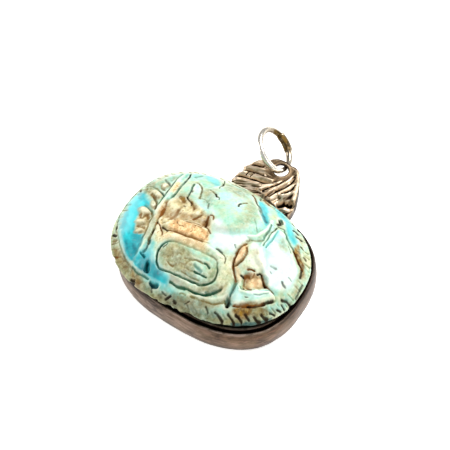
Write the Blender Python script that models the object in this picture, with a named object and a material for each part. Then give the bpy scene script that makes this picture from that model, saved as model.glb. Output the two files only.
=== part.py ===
"""Scarab pendant: a carved and glazed scarab in a silver bezel, with a leafy bail and a jump ring.

The pendant lies on the flat back of its bezel. The origin is the middle of that back, +X runs
along the scarab to its tail, +Y runs to the bail and +Z is up. Lengths are in metres.
"""

import math

import bmesh
import bpy
import numpy as np

MM = 0.001

# The stone
STONE_LENGTH = 25.0 * MM
STONE_WIDTH = 19.2 * MM
STONE_SHIFT = -0.5 * MM  # it sits a little towards its head end
STONE_ROUNDNESS = 2.4  # 2 is an ellipse, more is squarer
STONE_EGG = 0.08  # how much narrower the tail end is
RIM_DEPTH = 0.3 * MM  # the upright edge of the rim
RIM_UNDERCUT = 0.95 * MM  # height of the slope from the neck out to the rim
BAND_WIDTH = 1.3 * MM
BAND_RISE = 1.15 * MM
DOME_RISE = 4.0 * MM
NECK_INSET_ENDS = 1.6 * MM
NECK_INSET_SIDES = 1.3 * MM
NECK_RISE = 0.05 * MM  # how far the neck stands above the lip before it flares
FLARE_BULGE = 0.88  # how far out the slope has come at FLARE_BULGE_HEIGHT of its height
FLARE_BULGE_HEIGHT = 0.65

# The silver bezel
BEZEL_ROUNDNESS = 2.5
BEZEL_EGG = -0.045
FLOOR_THICKNESS = 0.9 * MM
SEAT_CLEARANCE = 0.3 * MM
LIP_THICKNESS = 0.35 * MM
LIP_HEIGHT = 3.55 * MM
GROOVE_WIDTH = 0.3 * MM
GROOVE_DEPTH = 0.75 * MM
WALL_THICKNESS = 0.32 * MM
WALL_HEIGHT = 3.35 * MM
WALL_BULGE = 0.3 * MM
FOOT_ROUNDING = 0.35 * MM
EDGE_ROUNDING = 0.08 * MM
BELLY_AT = 0.4  # share of the wall's height where it bulges most
SHOULDER_AT = 0.72

# The cast bail
BAIL_CLEARANCE = 0.3 * MM
BAIL_REACH = 6.7 * MM  # from the bezel to the far edge of the eyelet
BAIL_UNDERSIDE = 1.4 * MM
BAIL_TOP = 3.25 * MM
BAIL_LEAST_THICKNESS = 0.3 * MM
EYELET_TOP = 3.62 * MM
EYELET_THICKNESS = 0.45 * MM
EYELET_MARGIN = 0.55 * MM  # metal round the eyelet's hole
EYELET_CLEARANCE = 0.55 * MM  # all round the jump ring's wire
EYELET_FADE = 0.9 * MM  # from the flat eyelet to the full leaves
UNDERSIDE_RELIEF = 0.47 * MM  # from the eyelet's metal to where the underside starts to come down
UNDERSIDE_FADE = 1.0 * MM
COLLAR_STEP = 0.05 * MM  # how far the eyelet's collar stands over its plate

# The jump ring
RING_WIRE = 0.86 * MM
RING_OUTER_DIAMETER = 6.56 * MM
SLEEVE_WIRE = 1.2 * MM  # the doubled part where the wire's ends lap
SLEEVE_AT = math.radians(250)  # round the ring from the eyelet
SLEEVE_SWEEP = math.radians(50)
SLEEVE_STEP = math.radians(3)  # the short slope at each end of it
RING_PLANE_NORMAL = (0.66, 0.335, 0.67)
RING_CENTRE_DIRECTION = (-0.71, 0.60, 0.37)  # from the eyelet's middle

# How finely the faceted solids are made
STONE_RINGS = 72
STONE_FACES_KEPT = 0.1  # share left once flat stretches are merged
BEZEL_SIDES = 64
BAIL_RINGS = 9
EYELET_SIDES = 28
RING_STATIONS = 40
WIRE_SIDES = 8

# The carving is drawn on a sheet that is 25 units long and 19.2 wide, laid over the stone
SHEET_LENGTH = 25.0
SHEET_WIDTH = 19.2
SHEET_GRAIN = 0.35  # strokes finer than this are widened so that the facets can hold them
CARVING_STOPS = 0.65  # share of the rim band, from inside, where the carving has died away
NOTCHES_START = 0.5  # share of the rim band, from inside, where the notches are full

# Grooves: width, depth and the points that each passes through
STONE_GROOVES = (
    (0.40, 0.34, ((-6.9, -6.5), (-7.1, -4.0), (-7.8, -1.4), (-8.0, 1.2), (-8.4, 3.8), (-8.7, 6.2))),
    (0.45, 0.42, ((-6.0, -5.9), (-6.3, -3.2), (-6.9, -0.6), (-7.1, 2.2), (-7.3, 4.8), (-7.6, 7.0))),
    (0.50, 0.50, ((-2.5, -7.1), (0.0, -7.75), (2.2, -7.5), (3.8, -7.0), (4.7, -6.2), (4.9, -5.3))),
    (0.30, 0.22, ((1.2, -8.0), (3.3, -8.0), (4.9, -7.5), (5.9, -6.7))),
    (0.35, 0.32, ((-4.5, -3.0), (-2.4, -2.7), (0.2, -2.4))),
    (0.35, 0.30, ((-4.6, -1.1), (-2.6, -0.8), (-0.6, -0.3))),
    (0.30, 0.30, ((1.9, -2.5), (2.9, -2.4), (3.8, -2.9))),
    (0.30, 0.26, ((-5.1, 3.0), (-5.5, 4.2), (-5.7, 5.4), (-5.2, 6.0), (-4.5, 5.4), (-3.9, 4.4), (-3.5, 3.2))),
    (0.35, 0.30, ((-3.4, 5.3), (-2.3, 4.6), (-1.5, 4.4))),
    (0.25, 0.25, ((0.8, 4.9), (0.9, 5.4), (1.4, 5.9))),
    (0.45, 0.40, ((0.2, 8.6), (1.5, 7.9), (2.9, 6.9), (4.0, 5.8), (4.8, 4.7))),
    (0.35, 0.32, ((4.6, 7.3), (5.3, 5.4), (5.8, 3.6), (5.8, 2.1), (4.9, 1.1), (4.4, 0.6))),
    (0.30, 0.25, ((6.4, 4.9), (6.4, 3.0), (6.5, 1.2))),
    (0.45, 0.42, ((5.9, 5.5), (6.6, 5.6), (8.2, 4.5), (9.6, 3.5), (10.9, 2.5))),
    (0.60, 0.65, ((4.8, 0.2), (4.4, -0.9), (4.3, -2.0), (4.8, -3.2), (5.7, -4.3), (6.2, -5.6))),
    (0.30, 0.28, ((4.9, -0.3), (5.4, -0.9), (5.4, -1.9), (5.0, -2.7))),
    (0.35, 0.32, ((8.0, -1.7), (8.8, -2.3), (9.7, -2.6), (10.6, -2.7))),
    (0.30, 0.20, ((7.6, -5.2), (8.6, -4.2), (9.5, -3.4), (10.3, -2.6))),
    (0.50, 0.55, ((6.5, -6.5), (8.1, -5.7), (9.3, -4.7), (10.3, -3.7), (11.2, -2.5))),
)
# Ridges: width, height and points
STONE_RIDGES = (
    (0.60, 0.26, ((-6.4, -6.7), (-6.8, -3.6), (-7.4, -1.2), (-7.6, 1.4), (-7.9, 4.3), (-8.2, 6.9))),
    (0.50, 0.20, ((-10.4, -4.3), (-9.2, -5.9), (-7.6, -7.2), (-5.7, -8.0), (-3.6, -8.3), (-1.6, -8.3))),
    (0.70, 0.20, ((-4.4, -3.6), (-2.4, -3.2), (0.6, -2.8), (2.6, -3.0))),
    (0.60, 0.18, ((-2.6, -7.6), (0.4, -8.2), (3.4, -7.6), (5.4, -6.4), (5.6, -5.0))),
    (0.50, 0.22, ((5.1, 5.6), (5.4, 3.8), (5.2, 2.4), (4.4, 1.4))),
)
# Raised forms with a soft or a sharp edge: height, edge width and outline
STONE_MOUNDS = (
    (0.45, 0.7, ((-3.3, 5.3), (-2.4, 7.3), (0.0, 8.3), (2.0, 7.3), (4.2, 5.2), (4.5, 3.2),
                 (3.2, 1.2), (1.3, -0.1), (-0.4, 0.4), (-1.9, 2.6))),
    (0.45, 0.5, ((6.3, 4.9), (7.9, 4.3), (9.8, 3.0), (11.0, 1.7), (11.1, 0.0), (10.7, -1.9),
                 (9.2, -2.4), (7.9, -1.2), (6.7, -0.6), (6.2, 1.1))),
    (0.40, 0.5, ((4.9, 0.0), (5.6, 1.0), (6.6, 0.6), (7.8, -0.7), (7.3, -1.9), (6.0, -2.4), (5.3, -2.4))),
    (0.40, 0.3, ((4.8, -0.3), (5.3, -1.0), (5.2, -2.2), (4.8, -2.9), (4.5, -1.9), (4.6, -1.0))),
    (0.40, 0.4, ((6.4, -4.2), (7.2, -4.6), (9.3, -3.0), (10.5, -2.8), (10.4, -3.3), (8.2, -5.4),
                 (6.6, -6.2), (6.2, -5.5))),
    (0.22, 0.4, ((-5.3, -2.5), (-4.4, -1.5), (-0.8, -0.9), (0.0, -1.6), (-0.4, -2.3))),
    (0.18, 0.3, ((-5.1, 3.2), (-5.5, 5.2), (-5.1, 5.7), (-4.1, 4.4), (-3.7, 3.2))),
)
# Sunk fields and pits: depth, edge width and outline
STONE_HOLLOWS = (
    (0.35, 0.6, ((-6.9, -6.0), (-7.3, -3.0), (-8.0, 0.0), (-8.4, 3.0), (-8.8, 5.6), (-10.2, 4.2),
                 (-11.0, 1.8), (-11.2, -1.0), (-10.4, -3.4), (-8.8, -5.5))),
    (0.40, 0.6, ((-6.6, -0.4), (-6.4, 1.2), (-5.4, 1.9), (-3.4, 1.6), (-1.4, 0.9), (-0.6, -0.2),
                 (-2.4, -0.6), (-4.8, -1.2), (-5.8, -2.2))),
    (0.45, 0.4, ((-5.9, -0.9), (-5.6, 0.0), (-5.0, 0.4), (-4.6, -0.3), (-5.0, -1.2))),
    (0.75, 0.4, ((-1.2, -0.5), (-1.1, 0.5), (-0.6, 0.6), (-0.2, -0.2), (-0.5, -0.7))),
    (0.50, 0.4, ((6.5, -3.2), (8.4, -1.7), (9.1, -2.5), (7.2, -4.2))),
    (0.60, 0.4, ((-5.0, -6.9), (-4.5, -6.9), (-4.2, -7.8), (-4.8, -7.9))),
    (0.60, 0.4, ((-3.5, -8.4), (-2.4, -8.3), (-2.4, -8.8), (-3.2, -9.0))),
    (0.70, 0.4, ((5.9, -6.0), (6.5, -6.2), (6.4, -6.9), (5.8, -6.6))),
    (0.50, 0.4, ((5.3, 6.3), (5.9, 6.3), (5.7, 7.1))),
)
# Petals in front of the head line: middle, half length, half width, lean in degrees
PETAL_HEIGHT = 0.40
PETALS = (
    ((-8.6, -3.7), 0.70, 0.34, 20),
    ((-9.0, -2.4), 0.85, 0.38, 10),
    ((-9.2, -1.1), 1.00, 0.48, -8),
    ((-8.8, 0.4), 0.75, 0.36, -28),
    ((-9.3, 1.9), 1.15, 0.52, -38),
    ((-9.2, 3.5), 0.60, 0.42, -50),
)
CARTOUCHE_MIDDLE = (-0.3, -5.2)
CARTOUCHE_TURN = math.radians(5)
CARTOUCHE_HALF_LENGTH = 4.0
CARTOUCHE_HALF_WIDTH = 1.65
CARTOUCHE_LINE = (0.42, 0.36)  # width and depth
CARTOUCHE_BORDER = (0.9, 0.22)  # width and height
RIM_NOTCHES = 64
NOTCH_DEPTH = 0.28
NOTCH_WIDTH = 0.30
NOTCH_LENGTH = 0.8
NOTCH_INSET = 0.55  # of its middle from the rim
NOTCH_RADIAL = 0.5  # a notch points partly outwards and partly along the scarab
NOTCH_ALONG = 0.85

# The bail is drawn on a sheet of its own, 6.7 units from the bezel to the eyelet's far edge
BAIL_SHEET_REACH = 6.7
BAIL_MIDDLE = (0.1, 3.1)
EYELET_MIDDLE = (0.3, 5.0)
BAIL_OUTLINE = (
    (4.3, 0.3), (4.35, 1.8), (3.9, 3.2), (3.3, 4.6), (2.6, 5.7), (1.9, 6.3), (1.1, 6.35), (0.2, 6.5),
    (-0.8, 6.4), (-1.6, 5.9), (-2.4, 5.5), (-3.2, 5.1), (-3.6, 4.3), (-4.1, 3.4), (-3.9, 2.5),
    (-4.4, 1.2), (-3.9, 0.3), (-2.4, 0.05), (0.0, 0.0), (2.4, 0.05),
)
BAIL_GRAIN = 0.3
BAIL_FOLLOWS = 2.0  # the sheet bends with the bezel's side over this much of its length
BAIL_EDGE_DROP = 0.35  # the edge is rounded down by this
BAIL_EDGE_STARTS = 0.8  # share of the way from the middle to the edge
BAIL_RIDGES = (
    (0.45, 0.45, ((-4.2, 1.1), (-2.8, 1.8), (-0.8, 2.2), (0.2, 2.5))),
    (0.45, 0.40, ((-3.8, 2.7), (-2.3, 3.6), (-0.9, 4.0))),
    (0.45, 0.35, ((-3.6, 0.8), (-1.8, 1.1), (0.0, 1.2))),
    (0.45, 0.35, ((-3.6, 4.0), (-2.5, 4.6), (-1.4, 4.9))),
    (0.45, 0.55, ((1.3, 6.1), (1.35, 4.8), (1.3, 3.8), (0.9, 2.6), (0.4, 1.5), (0.2, 0.6))),
    (0.50, 0.75, ((1.9, 6.1), (2.5, 5.2), (3.0, 4.1), (3.5, 2.8), (3.9, 1.6))),
    (0.40, 0.35, ((1.9, 3.4), (1.6, 2.2), (1.4, 0.8))),
)
BAIL_GROOVES = (
    (0.45, 0.75, ((-3.6, 1.7), (-2.1, 2.5), (-0.6, 3.0), (0.8, 3.4))),
    (0.40, 0.50, ((-3.2, 3.4), (-1.8, 4.2), (-0.9, 4.4))),
    (0.40, 0.45, ((-3.2, 0.9), (-1.4, 1.6), (0.2, 1.9))),
    (0.55, 0.90, ((1.8, 5.4), (2.2, 4.4), (2.3, 3.3))),
    (0.55, 1.10, ((3.0, 1.9), (2.9, 1.1), (2.8, 0.5))),
)


def smooth_path(points, closed=False, steps=5):
    """Points along a smooth curve through the given ones."""
    given = np.array(points, dtype=float)
    if closed:
        padded = np.vstack([given[-1], given, given[0], given[1]])
    else:
        padded = np.vstack([2 * given[0] - given[1], given, 2 * given[-1] - given[-2]])
    path = []
    for before, start, end, after in zip(padded[:-3], padded[1:-2], padded[2:-1], padded[3:]):
        for step in range(steps):
            t = step / steps
            path.append(
                0.5 * (2 * start + (end - before) * t
                       + (2 * before - 5 * start + 4 * end - after) * t ** 2
                       + (3 * start - before - 3 * end + after) * t ** 3)
            )
    path.append(padded[-2] if not closed else path[0])
    return np.array(path)


def distance_to(x, y, path):
    """Distance from each point to a path."""
    nearest = np.full(x.shape, np.inf)
    for start, end in zip(path[:-1], path[1:]):
        run = end - start
        length = max(float(run @ run), 1e-12)
        share = np.clip(((x - start[0]) * run[0] + (y - start[1]) * run[1]) / length, 0, 1)
        gap = np.hypot(x - start[0] - share * run[0], y - start[1] - share * run[1])
        nearest = np.minimum(nearest, gap)
    return nearest


def inside(x, y, path):
    """Which points lie inside a closed path."""
    within = np.zeros(x.shape, dtype=bool)
    for start, end in zip(path[:-1], path[1:]):
        if start[1] == end[1]:
            continue
        crosses = (start[1] > y) != (end[1] > y)
        within ^= crosses & (x < start[0] + (y - start[1]) * (end[0] - start[0]) / (end[1] - start[1]))
    return within


def ease(value):
    """A soft step from 0 to 1."""
    t = np.clip(value, 0, 1)
    return t * t * (3 - 2 * t)


def stroke(x, y, width, points, grain):
    """A soft line, 1 along its middle and 0 away from it."""
    half = math.hypot(width / 2, grain / 2)
    thinned = min(1.0, 1.6 * width / (2 * half))
    return thinned * np.exp(-(distance_to(x, y, smooth_path(points)) / half) ** 2)


def patch(x, y, edge, outline, grain):
    """A soft-edged area, 1 inside its outline and 0 outside."""
    path = smooth_path(outline, closed=True)
    depth = distance_to(x, y, path) * np.where(inside(x, y, path), 1, -1)
    return ease(0.5 + depth / math.hypot(edge, grain))


def petal(x, y, middle, half_length, half_width, lean):
    """A raised leaf-shaped drop."""
    turn = math.radians(lean)
    along = (x - middle[0]) * math.cos(turn) + (y - middle[1]) * math.sin(turn)
    across = (y - middle[1]) * math.cos(turn) - (x - middle[0]) * math.sin(turn)
    reach = np.sqrt((along / half_length) ** 2 + (across / half_width) ** 2)
    return ease(1.5 - reach)


def cartouche_distance(x, y):
    """Distance outwards from the cartouche's line, a rectangle with round ends."""
    dx = x - CARTOUCHE_MIDDLE[0]
    dy = y - CARTOUCHE_MIDDLE[1]
    along = dx * math.cos(CARTOUCHE_TURN) + dy * math.sin(CARTOUCHE_TURN)
    across = dy * math.cos(CARTOUCHE_TURN) - dx * math.sin(CARTOUCHE_TURN)
    straight = CARTOUCHE_HALF_LENGTH - CARTOUCHE_HALF_WIDTH
    return np.hypot(np.maximum(np.abs(along) - straight, 0), across) - CARTOUCHE_HALF_WIDTH


def carving(x, y):
    """Height of the carving over the dome, in sheet units."""
    height = np.zeros(x.shape)
    for depth, edge, outline in STONE_HOLLOWS:
        height -= depth * patch(x, y, edge, outline, SHEET_GRAIN)
    for rise, edge, outline in STONE_MOUNDS:
        height += rise * patch(x, y, edge, outline, SHEET_GRAIN)
    for middle, half_length, half_width, lean in PETALS:
        height += PETAL_HEIGHT * petal(x, y, middle, half_length, half_width, lean)
    for width, rise, points in STONE_RIDGES:
        height += rise * stroke(x, y, width, points, SHEET_GRAIN)
    for width, depth, points in STONE_GROOVES:
        height -= depth * stroke(x, y, width, points, SHEET_GRAIN)
    away = cartouche_distance(x, y)
    line_width, line_depth = CARTOUCHE_LINE
    border_width, border_height = CARTOUCHE_BORDER
    height -= line_depth * np.exp(-(away / math.hypot(line_width / 2, SHEET_GRAIN / 2)) ** 2)
    border_middle = 0.5 * (border_width + line_width / 2)
    height += border_height * np.exp(-((away - border_middle) / (border_width / 2)) ** 2)
    return height


def notches(x, y, band_share):
    """Depth of the slanted cuts round the rim, in sheet units."""
    depth = np.zeros(x.shape)
    for count in range(RIM_NOTCHES):
        angle = 2 * math.pi * count / RIM_NOTCHES
        rim_x, rim_y = outline_point(0.5 * SHEET_LENGTH - NOTCH_INSET, 0.5 * SHEET_WIDTH - NOTCH_INSET,
                                     STONE_ROUNDNESS, STONE_EGG, np.array([angle]))
        towards_end = math.copysign(NOTCH_ALONG, math.cos(angle))
        lean = np.array([NOTCH_RADIAL * math.cos(angle) + towards_end, NOTCH_RADIAL * math.sin(angle)])
        lean *= 0.5 * NOTCH_LENGTH / np.linalg.norm(lean)
        middle = np.array([rim_x[0], rim_y[0]])
        cut = np.exp(-(distance_to(x, y, (middle - lean, middle + lean)) / NOTCH_WIDTH) ** 2)
        depth = np.maximum(depth, cut)
    return NOTCH_DEPTH * depth * band_share


def outline_point(half_length, half_width, roundness, egg, angles):
    """Points round an egg-shaped outline."""
    cosines = np.cos(angles)
    sines = np.sin(angles)
    x = half_length * np.sign(cosines) * np.abs(cosines) ** (2 / roundness)
    y = half_width * np.sign(sines) * np.abs(sines) ** (2 / roundness)
    return x, y * (1 - egg * x / half_length)


def disc_grid(rings):
    """Radius share and angle of each point of a grid pressed into a disc, its faces and its edge."""
    side = 2 * rings + 1
    steps = np.arange(-rings, rings + 1)
    column, row = np.meshgrid(steps, steps)
    column = column.ravel().astype(float)
    row = row.ravel().astype(float)
    wide = np.abs(column) > np.abs(row)
    radius = np.where(wide, column, row)
    safe = np.where(radius == 0, 1, radius)
    angle = np.where(wide, math.pi / 4 * row / safe, math.pi / 2 - math.pi / 4 * column / safe)
    angle = np.where(radius < 0, angle + math.pi, angle) % (2 * math.pi)
    share = np.abs(radius) / rings
    faces = []
    for j in range(side - 1):
        for i in range(side - 1):
            corner = j * side + i
            faces.append((corner, corner + 1, corner + side + 1, corner + side))
    on_edge = np.flatnonzero(share == 1)
    edge = on_edge[np.argsort(np.round(angle[on_edge], 9))]
    return share, angle, faces, [int(index) for index in edge]


def make_object(name, vertices, faces, material, smooth_angle=None):
    """An object from points and faces, given in metres."""
    mesh = bpy.data.meshes.new(name)
    mesh.from_pydata([tuple(map(float, point)) for point in vertices], [], faces)
    fixer = bmesh.new()
    fixer.from_mesh(mesh)
    bmesh.ops.recalc_face_normals(fixer, faces=fixer.faces)
    fixer.to_mesh(mesh)
    fixer.free()
    mesh.materials.append(material)
    if smooth_angle is not None:
        mesh.shade_smooth()
        mesh.set_sharp_from_angle(angle=math.radians(smooth_angle))
    part = bpy.data.objects.new(name, mesh)
    bpy.context.scene.collection.objects.link(part)
    return part


def make_material(name, colour, metallic, roughness):
    """A plain material."""
    material = bpy.data.materials.new(name)
    material.use_nodes = True
    shader = material.node_tree.nodes["Principled BSDF"]
    shader.inputs["Base Color"].default_value = (*colour, 1)
    shader.inputs["Metallic"].default_value = metallic
    shader.inputs["Roughness"].default_value = roughness
    return material


def stack_rings(rings):
    """Faces that join closed rings of points, each a list of point numbers."""
    faces = []
    for lower, upper in zip(rings[:-1], rings[1:]):
        count = len(lower)
        for index in range(count):
            after = (index + 1) % count
            faces.append((lower[index], lower[after], upper[after], upper[index]))
    return faces


def neck_top():
    """Height of the top of the stone's neck above the bezel's back."""
    return LIP_HEIGHT + NECK_RISE


def neck_half_sizes():
    """Half the length and half the width of the stone's neck."""
    return STONE_LENGTH / 2 - NECK_INSET_ENDS, STONE_WIDTH / 2 - NECK_INSET_SIDES


def make_stone(material):
    """The scarab: a carved dome on a notched rim, with a neck that goes down into the bezel."""
    share, angle, faces, edge = disc_grid(STONE_RINGS)
    half_length = STONE_LENGTH / 2
    half_width = STONE_WIDTH / 2
    rim_x, rim_y = outline_point(half_length, half_width, STONE_ROUNDNESS, STONE_EGG, angle)
    x = share * rim_x
    y = share * rim_y
    band_start = 1 - BAND_WIDTH / half_length
    on_band = np.clip((share - band_start) / (1 - band_start), 0, 1)
    on_dome = np.clip(share / band_start, 0, 1)
    rim_bottom = neck_top() + RIM_UNDERCUT
    base = rim_bottom + RIM_DEPTH + BAND_RISE * (1 - on_band) + DOME_RISE * (1 - on_dome ** 2)

    sheet_x = x * SHEET_LENGTH / STONE_LENGTH
    sheet_y = y * SHEET_WIDTH / STONE_WIDTH
    unit = STONE_LENGTH / SHEET_LENGTH
    fade = 1 - ease(on_band / CARVING_STOPS)
    relief = carving(sheet_x, sheet_y) * fade
    relief -= notches(sheet_x, sheet_y, ease(on_band / NOTCHES_START))
    height = base + relief * unit

    vertices = [(px + STONE_SHIFT, py, pz) for px, py, pz in zip(x, y, height)]
    around = 2 * math.pi * np.arange(len(edge)) / len(edge)
    rings = [edge]
    profile = (
        # height, and how far out from the neck's outline to the rim's
        (rim_bottom, 1.0),
        (neck_top() + FLARE_BULGE_HEIGHT * RIM_UNDERCUT, FLARE_BULGE),
        (neck_top(), 0.0),
        (FLOOR_THICKNESS + SEAT_CLEARANCE, 0.0),
    )
    full_x, full_y = outline_point(half_length, half_width, STONE_ROUNDNESS, STONE_EGG, around)
    neck_x, neck_y = outline_point(*neck_half_sizes(), BEZEL_ROUNDNESS, BEZEL_EGG, around)
    for level, blend in profile:
        ring_x = neck_x + (full_x + STONE_SHIFT - neck_x) * blend
        ring_y = neck_y + (full_y - neck_y) * blend
        first = len(vertices)
        vertices += [(px, py, level) for px, py in zip(ring_x, ring_y)]
        rings.append(list(range(first, first + len(edge))))
    faces += stack_rings(rings)
    faces.append(tuple(rings[-1]))
    stone = make_object("scarab", vertices, faces, material, smooth_angle=50)
    thin = stone.modifiers.new("merge flat stretches", "DECIMATE")
    thin.ratio = STONE_FACES_KEPT
    return stone


def make_bezel(material):
    """The cup that holds the stone: a floor, an inner lip, a dark groove and an outer wall."""
    neck_half_length, neck_half_width = neck_half_sizes()
    seat_length = neck_half_length + SEAT_CLEARANCE
    seat_width = neck_half_width + SEAT_CLEARANCE
    groove_in = LIP_THICKNESS
    groove_out = groove_in + GROOVE_WIDTH
    wall_out = groove_out + WALL_THICKNESS
    belly = wall_out + WALL_BULGE
    groove_floor = WALL_HEIGHT - GROOVE_DEPTH
    profile = (
        # outwards from the stone's seat, height
        (0.0, FLOOR_THICKNESS),
        (0.0, LIP_HEIGHT - EDGE_ROUNDING),
        (EDGE_ROUNDING, LIP_HEIGHT),
        (groove_in - EDGE_ROUNDING, LIP_HEIGHT),
        (groove_in, LIP_HEIGHT - EDGE_ROUNDING),
        (groove_in, groove_floor),
        (groove_out, groove_floor),
        (groove_out, WALL_HEIGHT - EDGE_ROUNDING),
        (groove_out + EDGE_ROUNDING, WALL_HEIGHT),
        (wall_out, WALL_HEIGHT - EDGE_ROUNDING / 2),
        (belly - WALL_BULGE / 3, SHOULDER_AT * WALL_HEIGHT),
        (belly, BELLY_AT * WALL_HEIGHT),
        (belly - EDGE_ROUNDING / 2, FOOT_ROUNDING),
        (belly - FOOT_ROUNDING, 0.0),
    )
    around = 2 * math.pi * np.arange(BEZEL_SIDES) / BEZEL_SIDES
    vertices = []
    rings = []
    for outwards, level in profile:
        ring_x, ring_y = outline_point(seat_length + outwards, seat_width + outwards,
                                       BEZEL_ROUNDNESS, BEZEL_EGG, around)
        rings.append(list(range(len(vertices), len(vertices) + BEZEL_SIDES)))
        vertices += [(px, py, level) for px, py in zip(ring_x, ring_y)]
    faces = stack_rings(rings)
    faces.append(tuple(rings[0]))
    faces.append(tuple(reversed(rings[-1])))
    return make_object("bezel", vertices, faces, material, smooth_angle=40)


def bezel_reach():
    """From the bezel's middle to the outside of its wall, along Y."""
    wall = LIP_THICKNESS + GROOVE_WIDTH + WALL_THICKNESS + WALL_BULGE
    return neck_half_sizes()[1] + SEAT_CLEARANCE + wall


def bezel_falls_back(x):
    """How far the bezel's side curves back from its middle, at x."""
    half_length = bezel_reach() + neck_half_sizes()[0] - neck_half_sizes()[1]
    share = np.clip(np.abs(x) / half_length, 0, 1)
    return bezel_reach() * (1 - (1 - share ** BEZEL_ROUNDNESS) ** (1 / BEZEL_ROUNDNESS))


def bail_place(sheet_x, sheet_y):
    """Points of the bail's sheet, in metres: its near edge follows the bezel's side."""
    unit = BAIL_REACH / BAIL_SHEET_REACH
    x = np.asarray(sheet_x) * unit
    follow = 1 - ease(np.asarray(sheet_y) / BAIL_FOLLOWS)
    y = bezel_reach() + BAIL_CLEARANCE + np.asarray(sheet_y) * unit - bezel_falls_back(x) * follow
    return x, y


def eyelet_hole_radius():
    """Radius of the hole that the jump ring passes through."""
    return RING_WIRE / 2 + EYELET_CLEARANCE


def make_bail(material):
    """The cast bail: two veined leaves beside an eyelet, one piece with a plain back."""
    share, angle, faces, edge = disc_grid(BAIL_RINGS)
    outline = smooth_path(BAIL_OUTLINE, closed=True, steps=24)[:-1]
    from_middle = outline - np.array(BAIL_MIDDLE)
    bearing = np.arctan2(from_middle[:, 1], from_middle[:, 0]) % (2 * math.pi)
    order = np.argsort(bearing)
    reach = np.interp(angle, bearing[order], np.hypot(*from_middle.T)[order], period=2 * math.pi)
    x = BAIL_MIDDLE[0] + share * reach * np.cos(angle)
    y = BAIL_MIDDLE[1] + share * reach * np.sin(angle)

    unit = BAIL_REACH / BAIL_SHEET_REACH
    relief = np.zeros(x.shape)
    for width, rise, points in BAIL_RIDGES:
        relief += rise * stroke(x, y, width, points, BAIL_GRAIN)
    for width, depth, points in BAIL_GROOVES:
        relief -= depth * stroke(x, y, width, points, BAIL_GRAIN)
    collar = eyelet_hole_radius() + EYELET_MARGIN
    from_eyelet = np.hypot(x - EYELET_MIDDLE[0], y - EYELET_MIDDLE[1]) * unit
    near_eyelet = 1 - ease((from_eyelet - collar) / EYELET_FADE)
    underside_lift = 1 - ease((from_eyelet - collar - UNDERSIDE_RELIEF) / UNDERSIDE_FADE)
    rounding = BAIL_EDGE_DROP * ease((share - BAIL_EDGE_STARTS) / (1 - BAIL_EDGE_STARTS))
    leaf_top = BAIL_TOP + (relief - rounding) * unit
    top = leaf_top * (1 - near_eyelet) + EYELET_TOP * near_eyelet
    eyelet_bottom = EYELET_TOP - EYELET_THICKNESS
    bottom = BAIL_UNDERSIDE + (eyelet_bottom - BAIL_UNDERSIDE) * underside_lift
    top = np.maximum(top, bottom + BAIL_LEAST_THICKNESS)

    place_x, place_y = bail_place(x, y)
    vertices = list(zip(place_x, place_y, top)) + list(zip(place_x, place_y, bottom))
    count = len(x)
    underneath = [tuple(count + index for index in reversed(face)) for face in faces]
    walls = stack_rings([[count + index for index in edge], edge])
    bail = make_object("bail", vertices, faces + underneath + walls, material, smooth_angle=45)
    cut_eyelet(bail)
    return bail


def cut_eyelet(bail):
    """Adds the eyelet's round collar and cuts its hole."""
    centre = bail_place(*EYELET_MIDDLE)
    collar = add_drum("eyelet_collar", centre, eyelet_hole_radius() + EYELET_MARGIN,
                      EYELET_TOP - EYELET_THICKNESS - COLLAR_STEP, EYELET_TOP + COLLAR_STEP)
    hole = add_drum("eyelet_hole", centre, eyelet_hole_radius(), 0.0, 2 * EYELET_TOP)
    for helper, operation in ((collar, "UNION"), (hole, "DIFFERENCE")):
        cut = bail.modifiers.new(helper.name, "BOOLEAN")
        cut.operation = operation
        cut.solver = "EXACT"
        cut.object = helper


def add_drum(name, centre, radius, bottom, top):
    """A hidden round helper for a boolean."""
    around = 2 * math.pi * (np.arange(EYELET_SIDES) + 0.5) / EYELET_SIDES
    rings = []
    vertices = []
    for level in (bottom, top):
        rings.append(list(range(len(vertices), len(vertices) + EYELET_SIDES)))
        vertices += [(centre[0] + radius * math.cos(t), centre[1] + radius * math.sin(t), level)
                     for t in around]
    faces = stack_rings(rings) + [tuple(reversed(rings[0])), tuple(rings[1])]
    mesh = bpy.data.meshes.new(name)
    mesh.from_pydata([tuple(map(float, point)) for point in vertices], [], faces)
    helper = bpy.data.objects.new(name, mesh)
    helper.hide_render = True
    helper.display_type = "WIRE"
    bpy.context.scene.collection.objects.link(helper)
    return helper


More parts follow.
